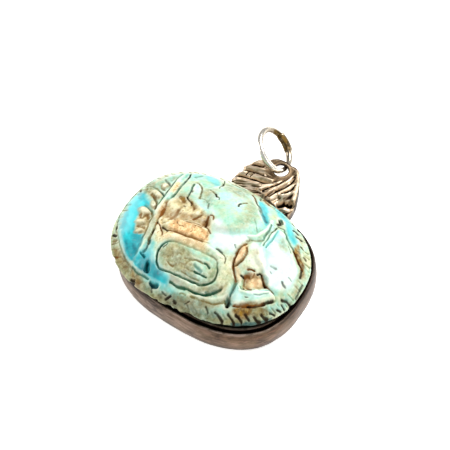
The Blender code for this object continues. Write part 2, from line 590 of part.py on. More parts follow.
def make_ring(material):
    """The jump ring, a loop of round wire through the eyelet, with its lapped ends as a sleeve."""
    radius = (RING_OUTER_DIAMETER - RING_WIRE) / 2
    normal = np.array(RING_PLANE_NORMAL)
    normal /= np.linalg.norm(normal)
    outwards = np.array(RING_CENTRE_DIRECTION)
    outwards -= normal * (outwards @ normal)
    outwards /= np.linalg.norm(outwards)
    sideways = np.cross(normal, outwards)
    eyelet_x, eyelet_y = bail_place(*EYELET_MIDDLE)
    eyelet = np.array([eyelet_x, eyelet_y, EYELET_TOP - EYELET_THICKNESS / 2])
    centre = eyelet + outwards * radius

    sleeve_start = SLEEVE_AT - SLEEVE_SWEEP / 2
    sleeve_end = SLEEVE_AT + SLEEVE_SWEEP / 2
    turns = [2 * math.pi * index / RING_STATIONS for index in range(RING_STATIONS)]
    turns = [turn for turn in turns
             if min(abs(turn - sleeve_start), abs(turn - sleeve_end)) > SLEEVE_STEP]
    for end in (sleeve_start, sleeve_end):
        turns += [end - SLEEVE_STEP / 2, end + SLEEVE_STEP / 2]
    vertices = []
    rings = []
    for turn in sorted(turns):
        on_sleeve = sleeve_start < turn < sleeve_end
        wire = (SLEEVE_WIRE if on_sleeve else RING_WIRE) / 2
        spoke = -outwards * math.cos(turn) + sideways * math.sin(turn)
        rings.append(list(range(len(vertices), len(vertices) + WIRE_SIDES)))
        for side in range(WIRE_SIDES):
            roll = 2 * math.pi * side / WIRE_SIDES
            outward = radius + wire * math.cos(roll)
            vertices.append(centre + spoke * outward + normal * wire * math.sin(roll))
    faces = stack_rings(rings + [rings[0]])
    return make_object("jump_ring", vertices, faces, material, smooth_angle=50)


def clear_scene():
    """Removes what a new file holds."""
    for thing in list(bpy.data.objects):
        bpy.data.objects.remove(thing)


def main():
    clear_scene()
    glaze = make_material("turquoise glazed stone", (0.30, 0.62, 0.58), 0.0, 0.4)
    silver = make_material("antiqued silver", (0.42, 0.38, 0.34), 1.0, 0.35)
    wire = make_material("polished silver wire", (0.75, 0.73, 0.70), 1.0, 0.2)
    make_stone(glaze)
    make_bezel(silver)
    make_bail(silver)
    make_ring(wire)


main()
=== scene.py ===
"""Looks of the scarab pendant: worn turquoise glaze, darkened silver and bright silver wire.

Drawings are in millimetres. The stone's drawing is a sheet laid over it, with its own origin in the
stone's middle. Metres are made only where a mesh or a light is handed to Blender.
"""

import math

import bmesh
import bpy
import numpy as np
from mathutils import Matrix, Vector


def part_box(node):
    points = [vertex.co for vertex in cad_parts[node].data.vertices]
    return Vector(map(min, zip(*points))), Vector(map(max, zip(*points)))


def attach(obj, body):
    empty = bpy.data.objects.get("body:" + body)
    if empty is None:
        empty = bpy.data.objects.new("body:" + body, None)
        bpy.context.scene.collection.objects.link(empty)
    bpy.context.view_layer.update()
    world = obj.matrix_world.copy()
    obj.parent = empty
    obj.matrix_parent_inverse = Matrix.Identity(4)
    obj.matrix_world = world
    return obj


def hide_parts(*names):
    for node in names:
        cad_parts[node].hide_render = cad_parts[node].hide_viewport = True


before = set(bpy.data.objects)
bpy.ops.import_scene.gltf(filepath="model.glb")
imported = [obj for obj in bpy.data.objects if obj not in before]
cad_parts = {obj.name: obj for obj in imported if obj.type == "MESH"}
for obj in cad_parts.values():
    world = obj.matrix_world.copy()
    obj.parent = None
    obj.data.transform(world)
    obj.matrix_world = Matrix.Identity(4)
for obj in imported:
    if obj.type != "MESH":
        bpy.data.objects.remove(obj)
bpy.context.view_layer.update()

MM = 0.001

# Seeds of the random patterns, which make each run give the same pendant
SEEDS = {
    "notches": 5, "wobble along": 11, "wobble across": 13, "unevenness": 17, "pits": 23, "ragged along": 31,
    "ragged across": 37, "rim's edge": 41, "streaks": 43, "dents": 53, "casting": 61, "left leaf": 65,
    "right leaf": 66, "eyelet's plate": 67, "filled cuts": 71, "filled ring line": 73,
}

# The stone, with its highest point read from the frame
STONE_PEAK = (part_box("scarab")[1] / MM).z
STONE_LENGTH = 25.0
STONE_WIDTH = 19.2
STONE_SHIFT = -0.5
STONE_ROUNDNESS = 2.4  # 2 is an ellipse, more is squarer
STONE_EGG = 0.08
NECK_ROUNDNESS = 2.5
NECK_EGG = -0.045
NECK_INSET_ENDS = 1.6
NECK_INSET_SIDES = 1.3
NECK_TOP = 3.6
RIM_UNDERCUT = 0.95
RIM_DEPTH = 0.3
BAND_WIDTH = 1.3
BAND_RISE = 1.15
DOME_RISE = 4.0
STONE_RINGS = 143
CARVING_STOPS = 0.65  # share of the rim band, from inside, where the carving has died away
NOTCHES_START = 0.5

# Raised forms: height, edge width and outline
MOUNDS = (
    (0.42, 1, (
        (-3.3, 5.3), (-2.4, 7.3), (0, 8.3), (2, 7.3), (4.2, 5.2), (4.5, 3.2), (3.2, 1.2), (1.3, -0.1),
        (-0.4, 0.4), (-1.9, 2.6))),
    (0.42, 0.7, (
        (6.3, 4.9), (7.9, 4.3), (9.8, 3), (11, 1.7), (11.1, 0), (10.7, -1.9), (9.2, -2.4), (7.9, -1.2),
        (6.7, -0.6), (6.2, 1.1))),
    (0.28, 0.8, ((4.9, 0), (5.6, 1), (6.6, 0.6), (7.8, -0.7), (7.3, -1.9), (6, -2.4), (5.3, -2.4))),
    (0.4, 0.2, ((4.75, -0.3), (5.2, -1), (5.15, -2.1), (4.9, -2.8), (4.6, -1.9), (4.6, -1))),
    (0.4, 0.16, (
        (6.4, -4.2), (7.2, -4.6), (9.3, -3), (10.6, -2.8), (10.5, -3.4), (9.4, -4.9), (8.3, -5.7),
        (6.8, -6.35), (6.2, -5.6))),
    (0.22, 0.25, ((-5.3, -2.5), (-4.4, -1.5), (-0.8, -0.9), (0, -1.6), (-0.4, -2.3))),
    (0.18, 0.4, ((-5.1, 3.2), (-5.5, 5.2), (-5.1, 5.7), (-4.1, 4.4), (-3.7, 3.2))),
)
# Sunk fields and pits: depth, edge width and outline
HOLLOWS = (
    (0.3, 1.3, (
        (-6.9, -6), (-7.3, -3), (-8, 0), (-8.4, 3), (-8.8, 5.6), (-10.2, 4.2), (-11, 1.8), (-11.2, -1),
        (-10.4, -3.4), (-8.8, -5.5))),
    (0.34, 0.6, (
        (-6.6, -0.4), (-6.4, 1.2), (-5.4, 1.9), (-3.4, 1.6), (-1.4, 0.9), (-0.6, -0.2), (-2.4, -0.6),
        (-4.8, -1.2), (-5.8, -2.2))),
    (0.22, 0.6, ((-5.9, -0.9), (-5.6, 0), (-5, 0.4), (-4.6, -0.3), (-5, -1.2))),
    (0.32, 0.4, ((-1.2, -0.5), (-1.1, 0.5), (-0.6, 0.6), (-0.2, -0.2), (-0.5, -0.7))),
    (0.36, 0.4, ((6.5, -3.2), (8.4, -1.7), (9.1, -2.5), (7.2, -4.2))),
    (0.6, 0.25, ((-5, -6.9), (-4.5, -6.9), (-4.2, -7.8), (-4.8, -7.9))),
    (0.6, 0.25, ((-3.5, -8.4), (-2.4, -8.3), (-2.4, -8.8), (-3.2, -9))),
    (0.7, 0.25, ((5.9, -6), (6.5, -6.2), (6.4, -6.9), (5.8, -6.6))),
    (0.5, 0.25, ((5.4, 6.8), (5.9, 6.2), (6.1, 6.6), (5.6, 7.2))),
)
# Ridges: width, height and points
RIDGES = (
    (0.6, 0.26, ((-6.4, -6.7), (-6.8, -3.6), (-7.4, -1.2), (-7.6, 1.4), (-7.9, 4.3), (-8.2, 6.9))),
    (0.45, 0.2, ((-10.4, -4.3), (-9.2, -5.9), (-7.6, -7.2), (-5.7, -8), (-3.6, -8.3), (-1.6, -8.3))),
    (0.6, 0.14, ((-4.4, -3.6), (-2.4, -3.2), (0.6, -2.8), (2.6, -3))),
    (0.5, 0.18, ((-2.6, -7.6), (0.4, -8.2), (3.4, -7.6), (5.4, -6.4), (5.6, -5))),
    (0.45, 0.22, ((5.1, 5.6), (5.4, 3.8), (5.2, 2.4), (4.4, 1.4))),
    (0.4, 0.06, (
        (-2.9, -5.7), (-2.9, -5), (-2.2, -4.6), (-1.5, -4.9), (-1.4, -5.6), (-1.9, -6.1), (-2.6, -6.1),
        (-2.9, -5.7))),
    (0.3, 0.06, ((-0.6, -4.7), (0.6, -4.5), (1.8, -4.15), (2.7, -4.3))),
    (0.3, 0.07, ((0.1, -5.15), (1, -5), (2.2, -5.1), (2.9, -4.9))),
    (0.3, 0.06, ((-0.5, -5.5), (0.8, -5.5), (2, -5.35), (2.9, -5.4))),
    (0.3, 0.06, ((-0.6, -6.2), (0.8, -6.1), (2.2, -6.05), (2.9, -5.9))),
    (0.25, 0.1, ((6.9, -4.9), (8.2, -4.3), (9.2, -3.4), (10, -2.95))),
)
# Petals in front of the head line: middle, half length, half width, lean in degrees
PETAL_HEIGHT = 0.36
PETALS = (
    ((-8.1, -3.8), 0.55, 0.30, 20),
    ((-8.7, -2.5), 0.75, 0.34, 8),
    ((-9.1, -0.9), 1.00, 0.42, -14),
    ((-8.6, 0.3), 0.70, 0.32, -34),
    ((-9.4, 2.0), 1.05, 0.45, -30),
    ((-9.2, 3.7), 0.60, 0.40, -40),
)
# Low lumps where the stone has worn unevenly: height, radius and middle
LUMPS = (
    (0.22, 0.50, (-6.1, 0.7)), (0.20, 0.55, (-4.5, 1.2)), (0.20, 0.45, (-2.7, 1.0)),
    (0.24, 0.38, (-5.6, -1.5)), (0.22, 0.45, (-3.6, -1.3)), (0.18, 0.40, (-3.8, 0.2)),
    (0.16, 0.35, (-6.9, 1.5)), (0.16, 0.30, (-1.7, 0.2)), (0.14, 0.30, (-4.9, -2.2)),
    (0.18, 0.35, (7.7, -3.5)), (0.16, 0.30, (7.1, -2.5)), (0.14, 0.30, (8.2, -2.5)),
    (0.12, 0.35, (0.6, -4.95)), (0.12, 0.45, (0.3, -4.0)), (0.12, 0.40, (1.6, -4.85)),
    (0.14, 0.40, (-5.6, -5.3)), (0.16, 0.50, (6.9, -5.4)), (0.12, 0.60, (5.9, 0.6)),
    (-0.16, 0.35, (-4.9, 0.9)), (-0.20, 0.30, (-3.1, 0.3)), (-0.18, 0.28, (-6.7, 0.4)),
    (-0.12, 0.60, (8.9, -0.5)), (-0.10, 0.70, (1.9, 2.4)), (-0.10, 0.60, (-0.7, 6.9)),
)
# Cuts made with a graver, and what has settled in each: deposit, its strength, width, depth, points
CUTS = (
    # The two long lines behind the head
    ("earth", 0.7, 0.22, 0.3, ((-7.7, 7.2), (-7.35, 6.6), (-7.2, 5.9), (-7.1, 5.2))),
    ("green", 0.5, 0.34, 0.34, ((-7.1, 5.2), (-7.05, 4.3), (-6.95, 3.5), (-6.85, 2.7), (-6.85, 2))),
    ("none", 0, 0.4, 0.34, ((-6.9, 2.2), (-7, 1.3), (-7.1, 0.9))),
    ("brown", 0.4, 0.3, 0.3, ((-7, 1), (-6.9, 0.4), (-6.85, 0))),
    ("brown", 1, 0.44, 0.32, ((-6.8, -0.1), (-6.75, -0.5), (-6.65, -0.9))),
    ("olive", 0.6, 0.3, 0.26, ((-6.65, -0.9), (-6.6, -1.6), (-6.45, -2.2))),
    ("earth", 0.9, 0.26, 0.3, ((-6.4, -2.15), (-6.3, -2.35))),
    ("olive", 0.7, 0.3, 0.3, ((-6.4, -2.3), (-6.4, -2.8), (-6.3, -3.3))),
    ("olive", 0.9, 0.26, 0.36, ((-6.3, -3.1), (-6.2, -3.7), (-6.15, -4.1))),
    ("earth", 0.5, 0.2, 0.2, ((-6.3, -3.3), (-6.25, -3.65))),
    ("olive", 0.9, 0.3, 0.36, ((-6.2, -4), (-6.15, -4.6), (-6, -5))),
    ("pool", 0.4, 0.34, 0.34, ((-6, -4.7), (-5.85, -5.1))),
    ("deep", 0.9, 0.36, 0.34, ((-5.95, -5), (-5.85, -5.6), (-6, -6.1))),
    ("pool", 0.55, 0.3, 0.34, ((-6.25, -6.3), (-5.9, -6.45), (-5.6, -6.6))),
    ("deep", 0.5, 0.34, 0.26, ((-8.5, 6.6), (-8.45, 5.8), (-8.35, 5), (-8.3, 4.3))),
    ("green", 0.6, 0.3, 0.3, ((-8.35, 4.6), (-8.25, 3.8), (-8.15, 3.2), (-8.05, 2.5))),
    ("earth", 0.6, 0.22, 0.34, ((-8.2, 3.4), (-8.1, 2.9), (-8, 2.5))),
    ("green", 0.35, 0.3, 0.26, ((-8, 2.4), (-8.05, 1.7), (-8, 0.9), (-7.9, 0.3))),
    ("olive", 0.7, 0.28, 0.26, ((-11.2, 3.1), (-10.4, 3.2), (-9.6, 2.95))),
    ("green", 0.5, 0.24, 0.3, ((-9.7, 2.95), (-9.1, 2.6), (-8.5, 2.2), (-8.1, 1.9))),
    ("olive", 1, 0.32, 0.3, ((-9.9, 1.9), (-9.4, 1.5), (-8.9, 1), (-8.4, 0.6))),
    ("earth", 0.5, 0.26, 0.3, ((-8.4, 0.6), (-8.05, 0.2), (-7.85, -0.4))),
    ("green", 0.45, 0.28, 0.3, ((-9.8, -0.1), (-9.2, -0.2), (-8.6, -0.6), (-8, -0.95))),
    ("olive", 0.8, 0.34, 0.26, ((-8, -1), (-7.6, -1.6), (-7.4, -2.4))),
    ("olive", 0.4, 0.34, 0.24, ((-7.4, -2.4), (-7.2, -3.2), (-7.1, -4.2))),
    ("deep", 0.7, 0.36, 0.22, ((-7.1, -4.2), (-6.95, -5.4), (-6.85, -6.6))),
    ("earth", 0.35, 0.28, 0.2, ((-9.9, 5), (-9.4, 4.6), (-8.9, 4.2), (-8.4, 3.8))),
    ("olive", 0.6, 0.24, 0.14, ((-9.7, 3.6), (-9.2, 3.1), (-8.6, 2.9))),
    ("olive", 0.9, 0.3, 0.2, ((-11.6, 3.6), (-11.4, 3), (-11.1, 2.5))),
    ("ochre", 0.6, 0.45, 0.2, ((-9.5, -1.5), (-9, -1.9), (-8.6, -1.5), (-8, -1.8))),
    ("ochre", 0.5, 0.4, 0.22, ((-8.7, -3.1), (-8.2, -3.2), (-7.7, -3.2))),
    ("earth", 0.3, 0.2, 0.14, ((-9.3, -1.5), (-9.05, -2.2))),
    # The line inside the rim, on the head's side
    ("earth", 0.4, 0.18, 0.16, ((-12.2, -1.9), (-11.9, -2.8), (-11.5, -3.8), (-11.1, -4.3))),
    ("olive", 0.35, 0.16, 0.14, ((-11.1, -4.3), (-10.4, -5), (-9.9, -5.7), (-9, -6.5), (-8.2, -7.1))),
    ("olive", 0.6, 0.22, 0.18, ((-8.2, -7.1), (-7.2, -7.7), (-6.2, -8.1))),
    ("green", 0.5, 0.22, 0.18, ((-6.4, -8), (-5, -8.35), (-3.8, -8.45))),
    ("earth", 0.4, 0.18, 0.14, ((-12.2, 2.4), (-12.35, 0.6), (-12.3, -0.8))),
    # The stained field in front of the shield
    ("none", 0, 0.46, 0.28, ((-5.15, 0.5), (-5.1, 0.1), (-5, -0.4))),
    ("brown", 0.6, 0.34, 0.3, ((-2.1, 0.8), (-2.3, 0.4), (-2.6, -0.1))),
    ("brown", 0.9, 0.32, 0.3, ((-1, 0.8), (-0.85, 0.3), (-0.7, -0.4))),
    ("earth", 0.5, 0.2, 0.2, ((-0.9, 0.3), (-0.75, -0.3))),
    ("brown", 0.8, 0.16, 0.2, ((-0.6, -0.4), (-0.1, -0.7), (0.4, -0.95))),
    ("brown", 0.7, 0.22, 0.2, ((-0.9, 1.1), (-0.4, 1.1), (-0.2, 0.7))),
    ("brown", 0.5, 0.22, 0.22, ((-4.6, -1.1), (-3.4, -0.95), (-2, -0.75), (-0.7, -0.6))),
    ("brown", 0.5, 0.14, 0.1, ((-2.2, -1.05), (-1.5, -1.1), (-0.8, -1))),
    ("brown", 0.9, 0.16, 0.22, ((-6.5, -2.35), (-6.1, -2.4), (-5.6, -2.8), (-5.1, -3.2), (-4.8, -3.7))),
    ("earth", 0.8, 0.26, 0.26, ((-5.3, -2.65), (-4.9, -2.8), (-4.5, -2.85))),
    ("brown", 0.5, 0.2, 0.2, ((-4.5, -2.85), (-3.4, -2.75), (-2, -2.7))),
    ("ochre", 0.9, 0.26, 0.2, ((-2.2, -2.7), (-1, -2.6), (0.1, -2.45))),
    ("olive", 0.3, 0.16, 0.08, ((0, -2.45), (0.5, -2.35), (1, -2.3))),
    ("earth", 0.4, 0.14, 0.08, ((-3.9, -1.7), (-3.4, -2), (-2.9, -1.9))),
    ("earth", 0.3, 0.12, 0.08, ((-1.9, -1.6), (-1.7, -1.9), (-1.8, -2.2))),
    ("earth", 1, 0.28, 0.35, ((-5.15, 2.55), (-4.85, 2.3), (-4.6, 2.1))),
    ("ochre", 1, 0.55, 0.22, ((-5.8, 2.2), (-5.5, 2.1), (-5.2, 1.9))),
    ("ochre", 1, 0.36, 0.2, ((-4.2, 2), (-3.9, 1.75), (-3.4, 1.4))),
    ("earth", 0.6, 0.16, 0.15, ((-4.5, 2), (-4.1, 1.9), (-4, 1.6))),
    ("earth", 0.5, 0.18, 0.12, ((-4.9, 1.25), (-4.6, 1.15))),
    # The oval name ring: a slip line at its left end, marks inside it, and its deep outer groove
    ("earth", 0.6, 0.16, 0.14, ((-3.9, -4.85), (-3.7, -4.6), (-3.6, -4.35))),
    ("olive", 0.35, 0.26, 0.08, ((-2.6, -5.4), (-2.3, -4.9), (-1.8, -4.9))),
    ("olive", 1, 0.24, 0.16, ((-2.4, -6.1), (-2.1, -6.25), (-1.7, -6.25))),
    ("olive", 0.3, 0.22, 0.08, ((-1.2, -5.2), (-1.1, -5.8))),
    ("olive", 0.7, 0.22, 0.16, ((-0.8, -4.95), (0, -4.85), (0.8, -4.55), (1.5, -4.5))),
    ("green", 0.8, 0.24, 0.18, ((1.7, -4.4), (2, -4.4), (2.5, -4.65))),
    ("green", 0.25, 0.4, 0.14, ((0.7, -5.1), (1.2, -5.3), (1.7, -5.35))),
    ("green", 0.9, 0.2, 0.2, ((1, -5.75), (1.6, -5.65), (2.1, -5.65), (2.7, -5.7))),
    ("olive", 0.4, 0.2, 0.12, ((-0.2, -5.9), (0.4, -5.85), (1.1, -5.75))),
    ("olive", 0.6, 0.18, 0.12, ((-0.4, -6.4), (0.8, -6.35), (2, -6.3))),
    ("green", 0.8, 0.26, 0.26, ((-1.1, -7.85), (-0.4, -7.85), (0.5, -7.75), (1.4, -7.6))),
    ("green", 1, 0.28, 0.42, ((1.4, -7.6), (2.6, -7.5), (3.4, -7.2), (4, -6.8))),
    ("deep", 0.9, 0.5, 0.3, ((3.5, -7), (4.1, -6.6), (4.6, -6.1), (4.8, -5.6))),
    ("green", 0.7, 0.26, 0.42, ((3.8, -6.9), (4.4, -6.4), (4.8, -5.7))),
    ("olive", 1, 0.26, 0.2, ((2, -8), (3.5, -7.75), (4.9, -7.4), (5.6, -6.9), (5.8, -6.5))),
    ("olive", 0.8, 0.22, 0.14, ((0.6, -8.25), (0.9, -8.15), (1.3, -8.15))),
    ("earth", 1, 0.4, 0.35, ((6.2, -6.2), (6.2, -6.5), (6.3, -6.8))),
    # Left of the ring, low down
    ("pool", 0.8, 0.42, 0.2, ((-4.85, -7.1), (-4.7, -7.4), (-4.45, -7.75))),
    ("pool", 0.75, 0.45, 0.2, ((-3.4, -8.7), (-3, -8.65), (-2.55, -8.5))),
    ("earth", 0.6, 0.3, 0.1, ((-3, -9), (-2.8, -9.3))),
    ("deep", 0.6, 0.35, 0.1, ((-6.3, -7.5), (-6, -7.7), (-5.6, -7.6))),
    # The tongue and the cuts over it
    ("green", 0.6, 0.24, 0.22, ((-5.75, 5.2), (-5.6, 4.4), (-5.3, 3.6))),
    ("earth", 0.6, 0.24, 0.22, ((-5.35, 3.8), (-5.2, 3.1), (-5.1, 2.6))),
    ("olive", 0.8, 0.28, 0.2, ((-5.6, 5.6), (-5.2, 5.4), (-4.6, 4.9), (-4.1, 4.3), (-3.75, 3.6), (-3.5, 3))),
    ("earth", 0.3, 0.2, 0.1, ((-4.6, 4.9), (-4.1, 4.3), (-3.8, 3.7))),
    ("earth", 0.8, 0.12, 0.1, ((-5.1, 3.65), (-5, 3.4))),
    ("earth", 0.5, 0.18, 0.26, ((-3.5, 8.6), (-3.2, 8))),
    ("earth", 1, 0.3, 0.34, ((-3.15, 7.8), (-2.9, 7.2), (-2.8, 6.75))),
    ("earth", 0.3, 0.5, 0.1, ((-6.5, 6.8), (-6.3, 7.2), (-6.1, 7.5))),
    ("olive", 0.6, 0.2, 0.14, ((-3.3, 5.1), (-2.8, 4.75), (-2.3, 4.5))),
    ("earth", 1, 0.28, 0.26, ((-2.3, 4.5), (-2.05, 4.3), (-1.9, 4.2))),
    ("earth", 0.5, 0.18, 0.16, ((-1.8, 4.25), (-1.55, 4.2), (-1.35, 3.9))),
    ("earth", 0.4, 0.16, 0.12, ((-2.7, 6.3), (-2.6, 5.9))),
    ("earth", 0.3, 0.24, 0.15, ((-2.15, 2.7), (-1.95, 2.3), (-1.8, 1.9))),
    ("earth", 0.1, 0.18, 0.08, ((-3.3, 3.1), (-2.8, 3.05), (-2.4, 2.8))),
    # The wing case: one arc, and the groove beyond it
    ("earth", 0.9, 0.22, 0.22, ((1.05, 4.5), (0.95, 4.85), (1.05, 5.2))),
    ("olive", 0.9, 0.2, 0.18, ((1.05, 5.1), (1.2, 5.5), (1.4, 5.8))),
    ("brown", 0.7, 0.24, 0.28, ((0.5, 8.8), (1, 8.35), (1.4, 7.9), (1.7, 7.6))),
    ("earth", 0.5, 0.24, 0.3, ((1.5, 7.8), (2, 7.3), (2.4, 7))),
    ("deep", 0.8, 0.5, 0.3, ((2.4, 7), (2.9, 6.5), (3.4, 6), (4.1, 5.4), (4.6, 4.9))),
    ("green", 0.5, 0.2, 0.2, ((1.9, 7.4), (2.6, 6.7), (3.3, 5.9))),
    ("earth", 0.35, 0.22, 0.12, ((2.7, 6.4), (3, 5.9))),
    ("deep", 0.2, 0.2, 0.1, ((3.6, 4), (4.3, 3.2), (4.8, 2.6))),
    ("earth", 0.5, 0.25, 0.16, ((1.5, 9.2), (1.7, 8.8), (1.9, 8.5))),
    ("brown", 0.6, 0.4, 0.14, ((1.9, 9.4), (2.4, 8.9), (2.9, 8.6))),
    # The rib and the panel beyond it
    ("earth", 1, 0.4, 0.2, ((5.55, 6.8), (5.8, 6.5), (5.95, 6.2), (5.9, 5.85))),
    ("green", 0.35, 0.2, 0.2, ((5.4, 5), (5.6, 4.3), (5.7, 3.5), (5.85, 2.7), (5.9, 2.1))),
    ("earth", 0.9, 0.22, 0.34, ((6.1, 5.2), (6.12, 4.5), (6.15, 3.9))),
    ("green", 0.35, 0.22, 0.26, ((6.15, 3.9), (6.2, 3.2), (6.3, 2.3), (6.4, 1.4))),
    ("deep", 0.4, 0.2, 0.2, ((6.55, 4.6), (6.7, 3.4), (6.8, 2.2), (6.8, 1.4))),
    ("olive", 0.4, 0.34, 0.2, ((5.9, 2.1), (5.4, 1.6), (4.9, 1.1), (4.6, 0.7))),
    ("green", 0.5, 0.24, 0.2, ((6.1, 5.5), (6.4, 5.65), (6.75, 5.75), (7, 5.4))),
    ("green", 0.5, 0.2, 0.26, ((7, 5.4), (7.5, 5.1), (7.8, 4.85))),
    ("green", 0.35, 0.28, 0.26, ((7.8, 4.85), (8.5, 4.3), (9.2, 3.9))),
    ("brown", 1, 0.24, 0.36, ((9.3, 3.8), (9.8, 3.5), (10.3, 3.1), (10.7, 2.8), (11.2, 2.6))),
    ("earth", 0.6, 0.16, 0.2, ((9.4, 3.75), (10.2, 3.2), (10.8, 2.75))),
    ("earth", 0.7, 0.3, 0.2, ((11.2, 2.5), (11.5, 2), (11.6, 1.6))),
    ("earth", 0.4, 0.14, 0.1, ((8.6, 3.7), (9, 3.35), (9.3, 3.1))),
    # The seated figure
    ("ochre", 0.9, 0.34, 0.36, ((4.65, 0.3), (4.5, -0.1), (4.4, -0.8), (4.42, -1.5))),
    ("brown", 0.8, 0.26, 0.3, ((4.4, -0.7), (4.45, -1.5), (4.55, -2.2))),
    ("brown", 0.8, 0.28, 0.42, ((4.55, -2.2), (4.85, -2.9), (5.3, -3.5), (5.9, -4.1))),
    ("deep", 0.5, 0.46, 0.4, ((5.9, -4.1), (6.15, -4.8), (6.2, -5.5), (6.2, -6.1))),
    ("ochre", 0.9, 0.2, 0.22, ((5, -0.15), (5.35, -0.7), (5.45, -1.5), (5.3, -2.4), (5, -2.85))),
    ("earth", 0.6, 0.14, 0.12, ((3.7, -0.6), (4, -0.95))),
    ("earth", 0.4, 0.12, 0.08, ((4.65, 1.1), (4.7, 0.9))),
    ("earth", 0.5, 0.24, 0.2, ((2.1, -2.4), (2.5, -2.35), (2.9, -2.4))),
    ("earth", 0.4, 0.14, 0.16, ((3, -2.5), (3.4, -2.6), (3.7, -2.9), (3.9, -3.3))),
    ("brown", 0.9, 0.2, 0.25, ((6.5, -2.25), (6.8, -2.05), (7.15, -1.9))),
    ("earth", 0.9, 0.2, 0.26, ((7.6, -2), (7.85, -1.75), (8.1, -1.8))),
    ("brown", 1, 0.22, 0.3, ((8.1, -1.8), (8.5, -2.15), (8.8, -2.4), (9.2, -2.45))),
    ("earth", 0.7, 0.16, 0.16, ((8.5, -2.2), (8.8, -2.4), (9.1, -2.45))),
    ("brown", 0.5, 0.16, 0.16, ((9.2, -2.45), (9.8, -2.55), (10.3, -2.6))),
    ("earth", 0.8, 0.26, 0.22, ((6.1, -3.3), (6.35, -3.3), (6.5, -3.25))),
    ("brown", 0.9, 0.4, 0.25, ((6.6, -3.1), (6.75, -2.8), (7, -2.75))),
    ("brown", 0.8, 0.14, 0.16, ((6.7, -3.2), (6.8, -3.6), (6.95, -3.9))),
    ("brown", 0.5, 0.2, 0.12, ((7.2, -2.9), (7.35, -2.5), (7.3, -2.2))),
    ("earth", 0.7, 0.16, 0.12, ((7.1, -4.25), (7.25, -4.35))),
    ("brown", 0.6, 0.22, 0.12, ((7.5, -4), (7.9, -3.9))),
    ("deep", 0.4, 0.16, 0.16, ((8.5, -4.2), (9, -3.8), (9.5, -3.3), (10.1, -2.85))),
    ("earth", 0.4, 0.14, 0.12, ((7.75, -5.1), (8.05, -4.9))),
    # Under the ledge: dirt in the deep undercut, and painted shadow of the ledge
    ("brown", 0.8, 0.18, 0.45, ((6.9, -6.35), (7.5, -6.1), (8.2, -5.7))),
    ("brown", 1, 0.24, 0.46, ((7.9, -5.9), (8.6, -5.45), (9.3, -4.85), (9.9, -4.25))),
    ("earth", 0.9, 0.16, 0.46, ((8.4, -5.65), (9.3, -4.95), (10, -4.15))),
    ("earth", 0.9, 0.2, 0.42, ((9.9, -4.2), (10.3, -3.65), (10.6, -3.2))),
    ("earth", 0.3, 0.3, 0.08, ((8.4, -0.25), (9, -0.1))),
    ("earth", 0.3, 0.18, 0.06, ((8.7, -0.8), (8.85, -0.85))),
    ("earth", 0.5, 0.34, 0.14, ((10.45, -0.85), (10.7, -0.95), (10.9, -0.9))),
    ("earth", 0.3, 0.25, 0.06, ((10.7, 0.2), (11, 0.2))),
    ("earth", 0.6, 0.2, 0.14, ((12.15, 1.1), (12.25, 0.4), (12.35, -0.3), (12.4, -0.9))),
)
# Slanted cuts in the rim that stand out: deposit, strength, width, depth, points
RIM_CUTS = (
    ("earth", 0.9, 0.34, 0.25, ((-12, 2.35), (-11.8, 2.1))),
    ("earth", 0.9, 0.31, 0.25, ((-11.6, -3.7), (-11.35, -4))),
    ("earth", 0.9, 0.38, 0.25, ((-11.2, -4.85), (-10.8, -4.95))),
    ("olive", 1, 0.41, 0.25, ((-10.8, -5.5), (-10.4, -5.6))),
    ("olive", 1, 0.34, 0.25, ((-10.3, -6.5), (-9.7, -6.6))),
    ("brown", 0.7, 0.28, 0.25, ((-9.4, -7.35), (-9, -7.3))),
    ("earth", 1, 0.41, 0.35, ((-5.8, -9.1), (-5.45, -9))),
    ("earth", 0.5, 0.2, 0.18, ((-1.6, -8.95), (-0.9, -8.95))),
    ("earth", 1, 0.34, 0.28, ((-0.75, -9.25), (-0.4, -8.85))),
    ("earth", 1, 0.31, 0.25, ((0.25, -9.1), (0.5, -9.2))),
    ("earth", 0.5, 0.16, 0.2, ((1.6, -8.9), (2, -8.45))),
    ("earth", 0.8, 0.28, 0.22, ((4.05, -8.1), (4.6, -8.45))),
    ("earth", 0.9, 0.3, 0.26, ((5.4, -8), (5.9, -8), (6.5, -8.2))),
    ("earth", 1, 0.32, 0.28, ((6.85, -7.4), (7.3, -7.5), (7.85, -7.7))),
    ("earth", 1, 0.36, 0.3, ((7.7, -6.95), (8.1, -7), (8.55, -7.1))),
    ("earth", 0.9, 0.34, 0.3, ((8.6, -6.3), (8.9, -6.35), (9.3, -6.45))),
    ("earth", 1, 0.34, 0.3, ((9.6, -5.85), (10, -5.95), (10.4, -5.85))),
    ("earth", 1, 0.38, 0.3, ((10.25, -5.2), (10.6, -5.2), (11, -5.05))),
    ("earth", 1, 0.38, 0.28, ((10.95, -4.45), (11.35, -4.3))),
    ("earth", 1, 0.36, 0.28, ((11.45, -3.6), (11.8, -3.5))),
    ("earth", 1, 0.31, 0.3, ((11.6, -2.75), (12, -2.9))),
    ("earth", 1, 0.41, 0.35, ((11.4, -2.3), (11.8, -2.05), (12.3, -1.9))),
    ("earth", 1, 0.42, 0.28, ((7.45, 6.9), (7.75, 7), (8.1, 6.95))),
    ("earth", 1, 0.41, 0.26, ((8.3, 6.3), (8.6, 6.4), (8.85, 6.4))),
    ("earth", 0.4, 0.26, 0.2, ((9.5, 5.3), (9.8, 5.2))),
    ("earth", 0.4, 0.3, 0.2, ((10.5, 4.3), (10.8, 4.2))),
    ("earth", 0.4, 0.2, 0.2, ((6.6, 8.1), (6.9, 8))),
    ("earth", 0.5, 0.24, 0.18, ((-8.7, 8.2), (-8.45, 8.05))),
    ("earth", 0.8, 0.34, 0.2, ((-10, 7.3), (-9.7, 7.35))),
    ("earth", 0.3, 0.4, 0.14, ((-2.5, 8.8), (-1.6, 9.05), (-0.8, 9.15))),
)
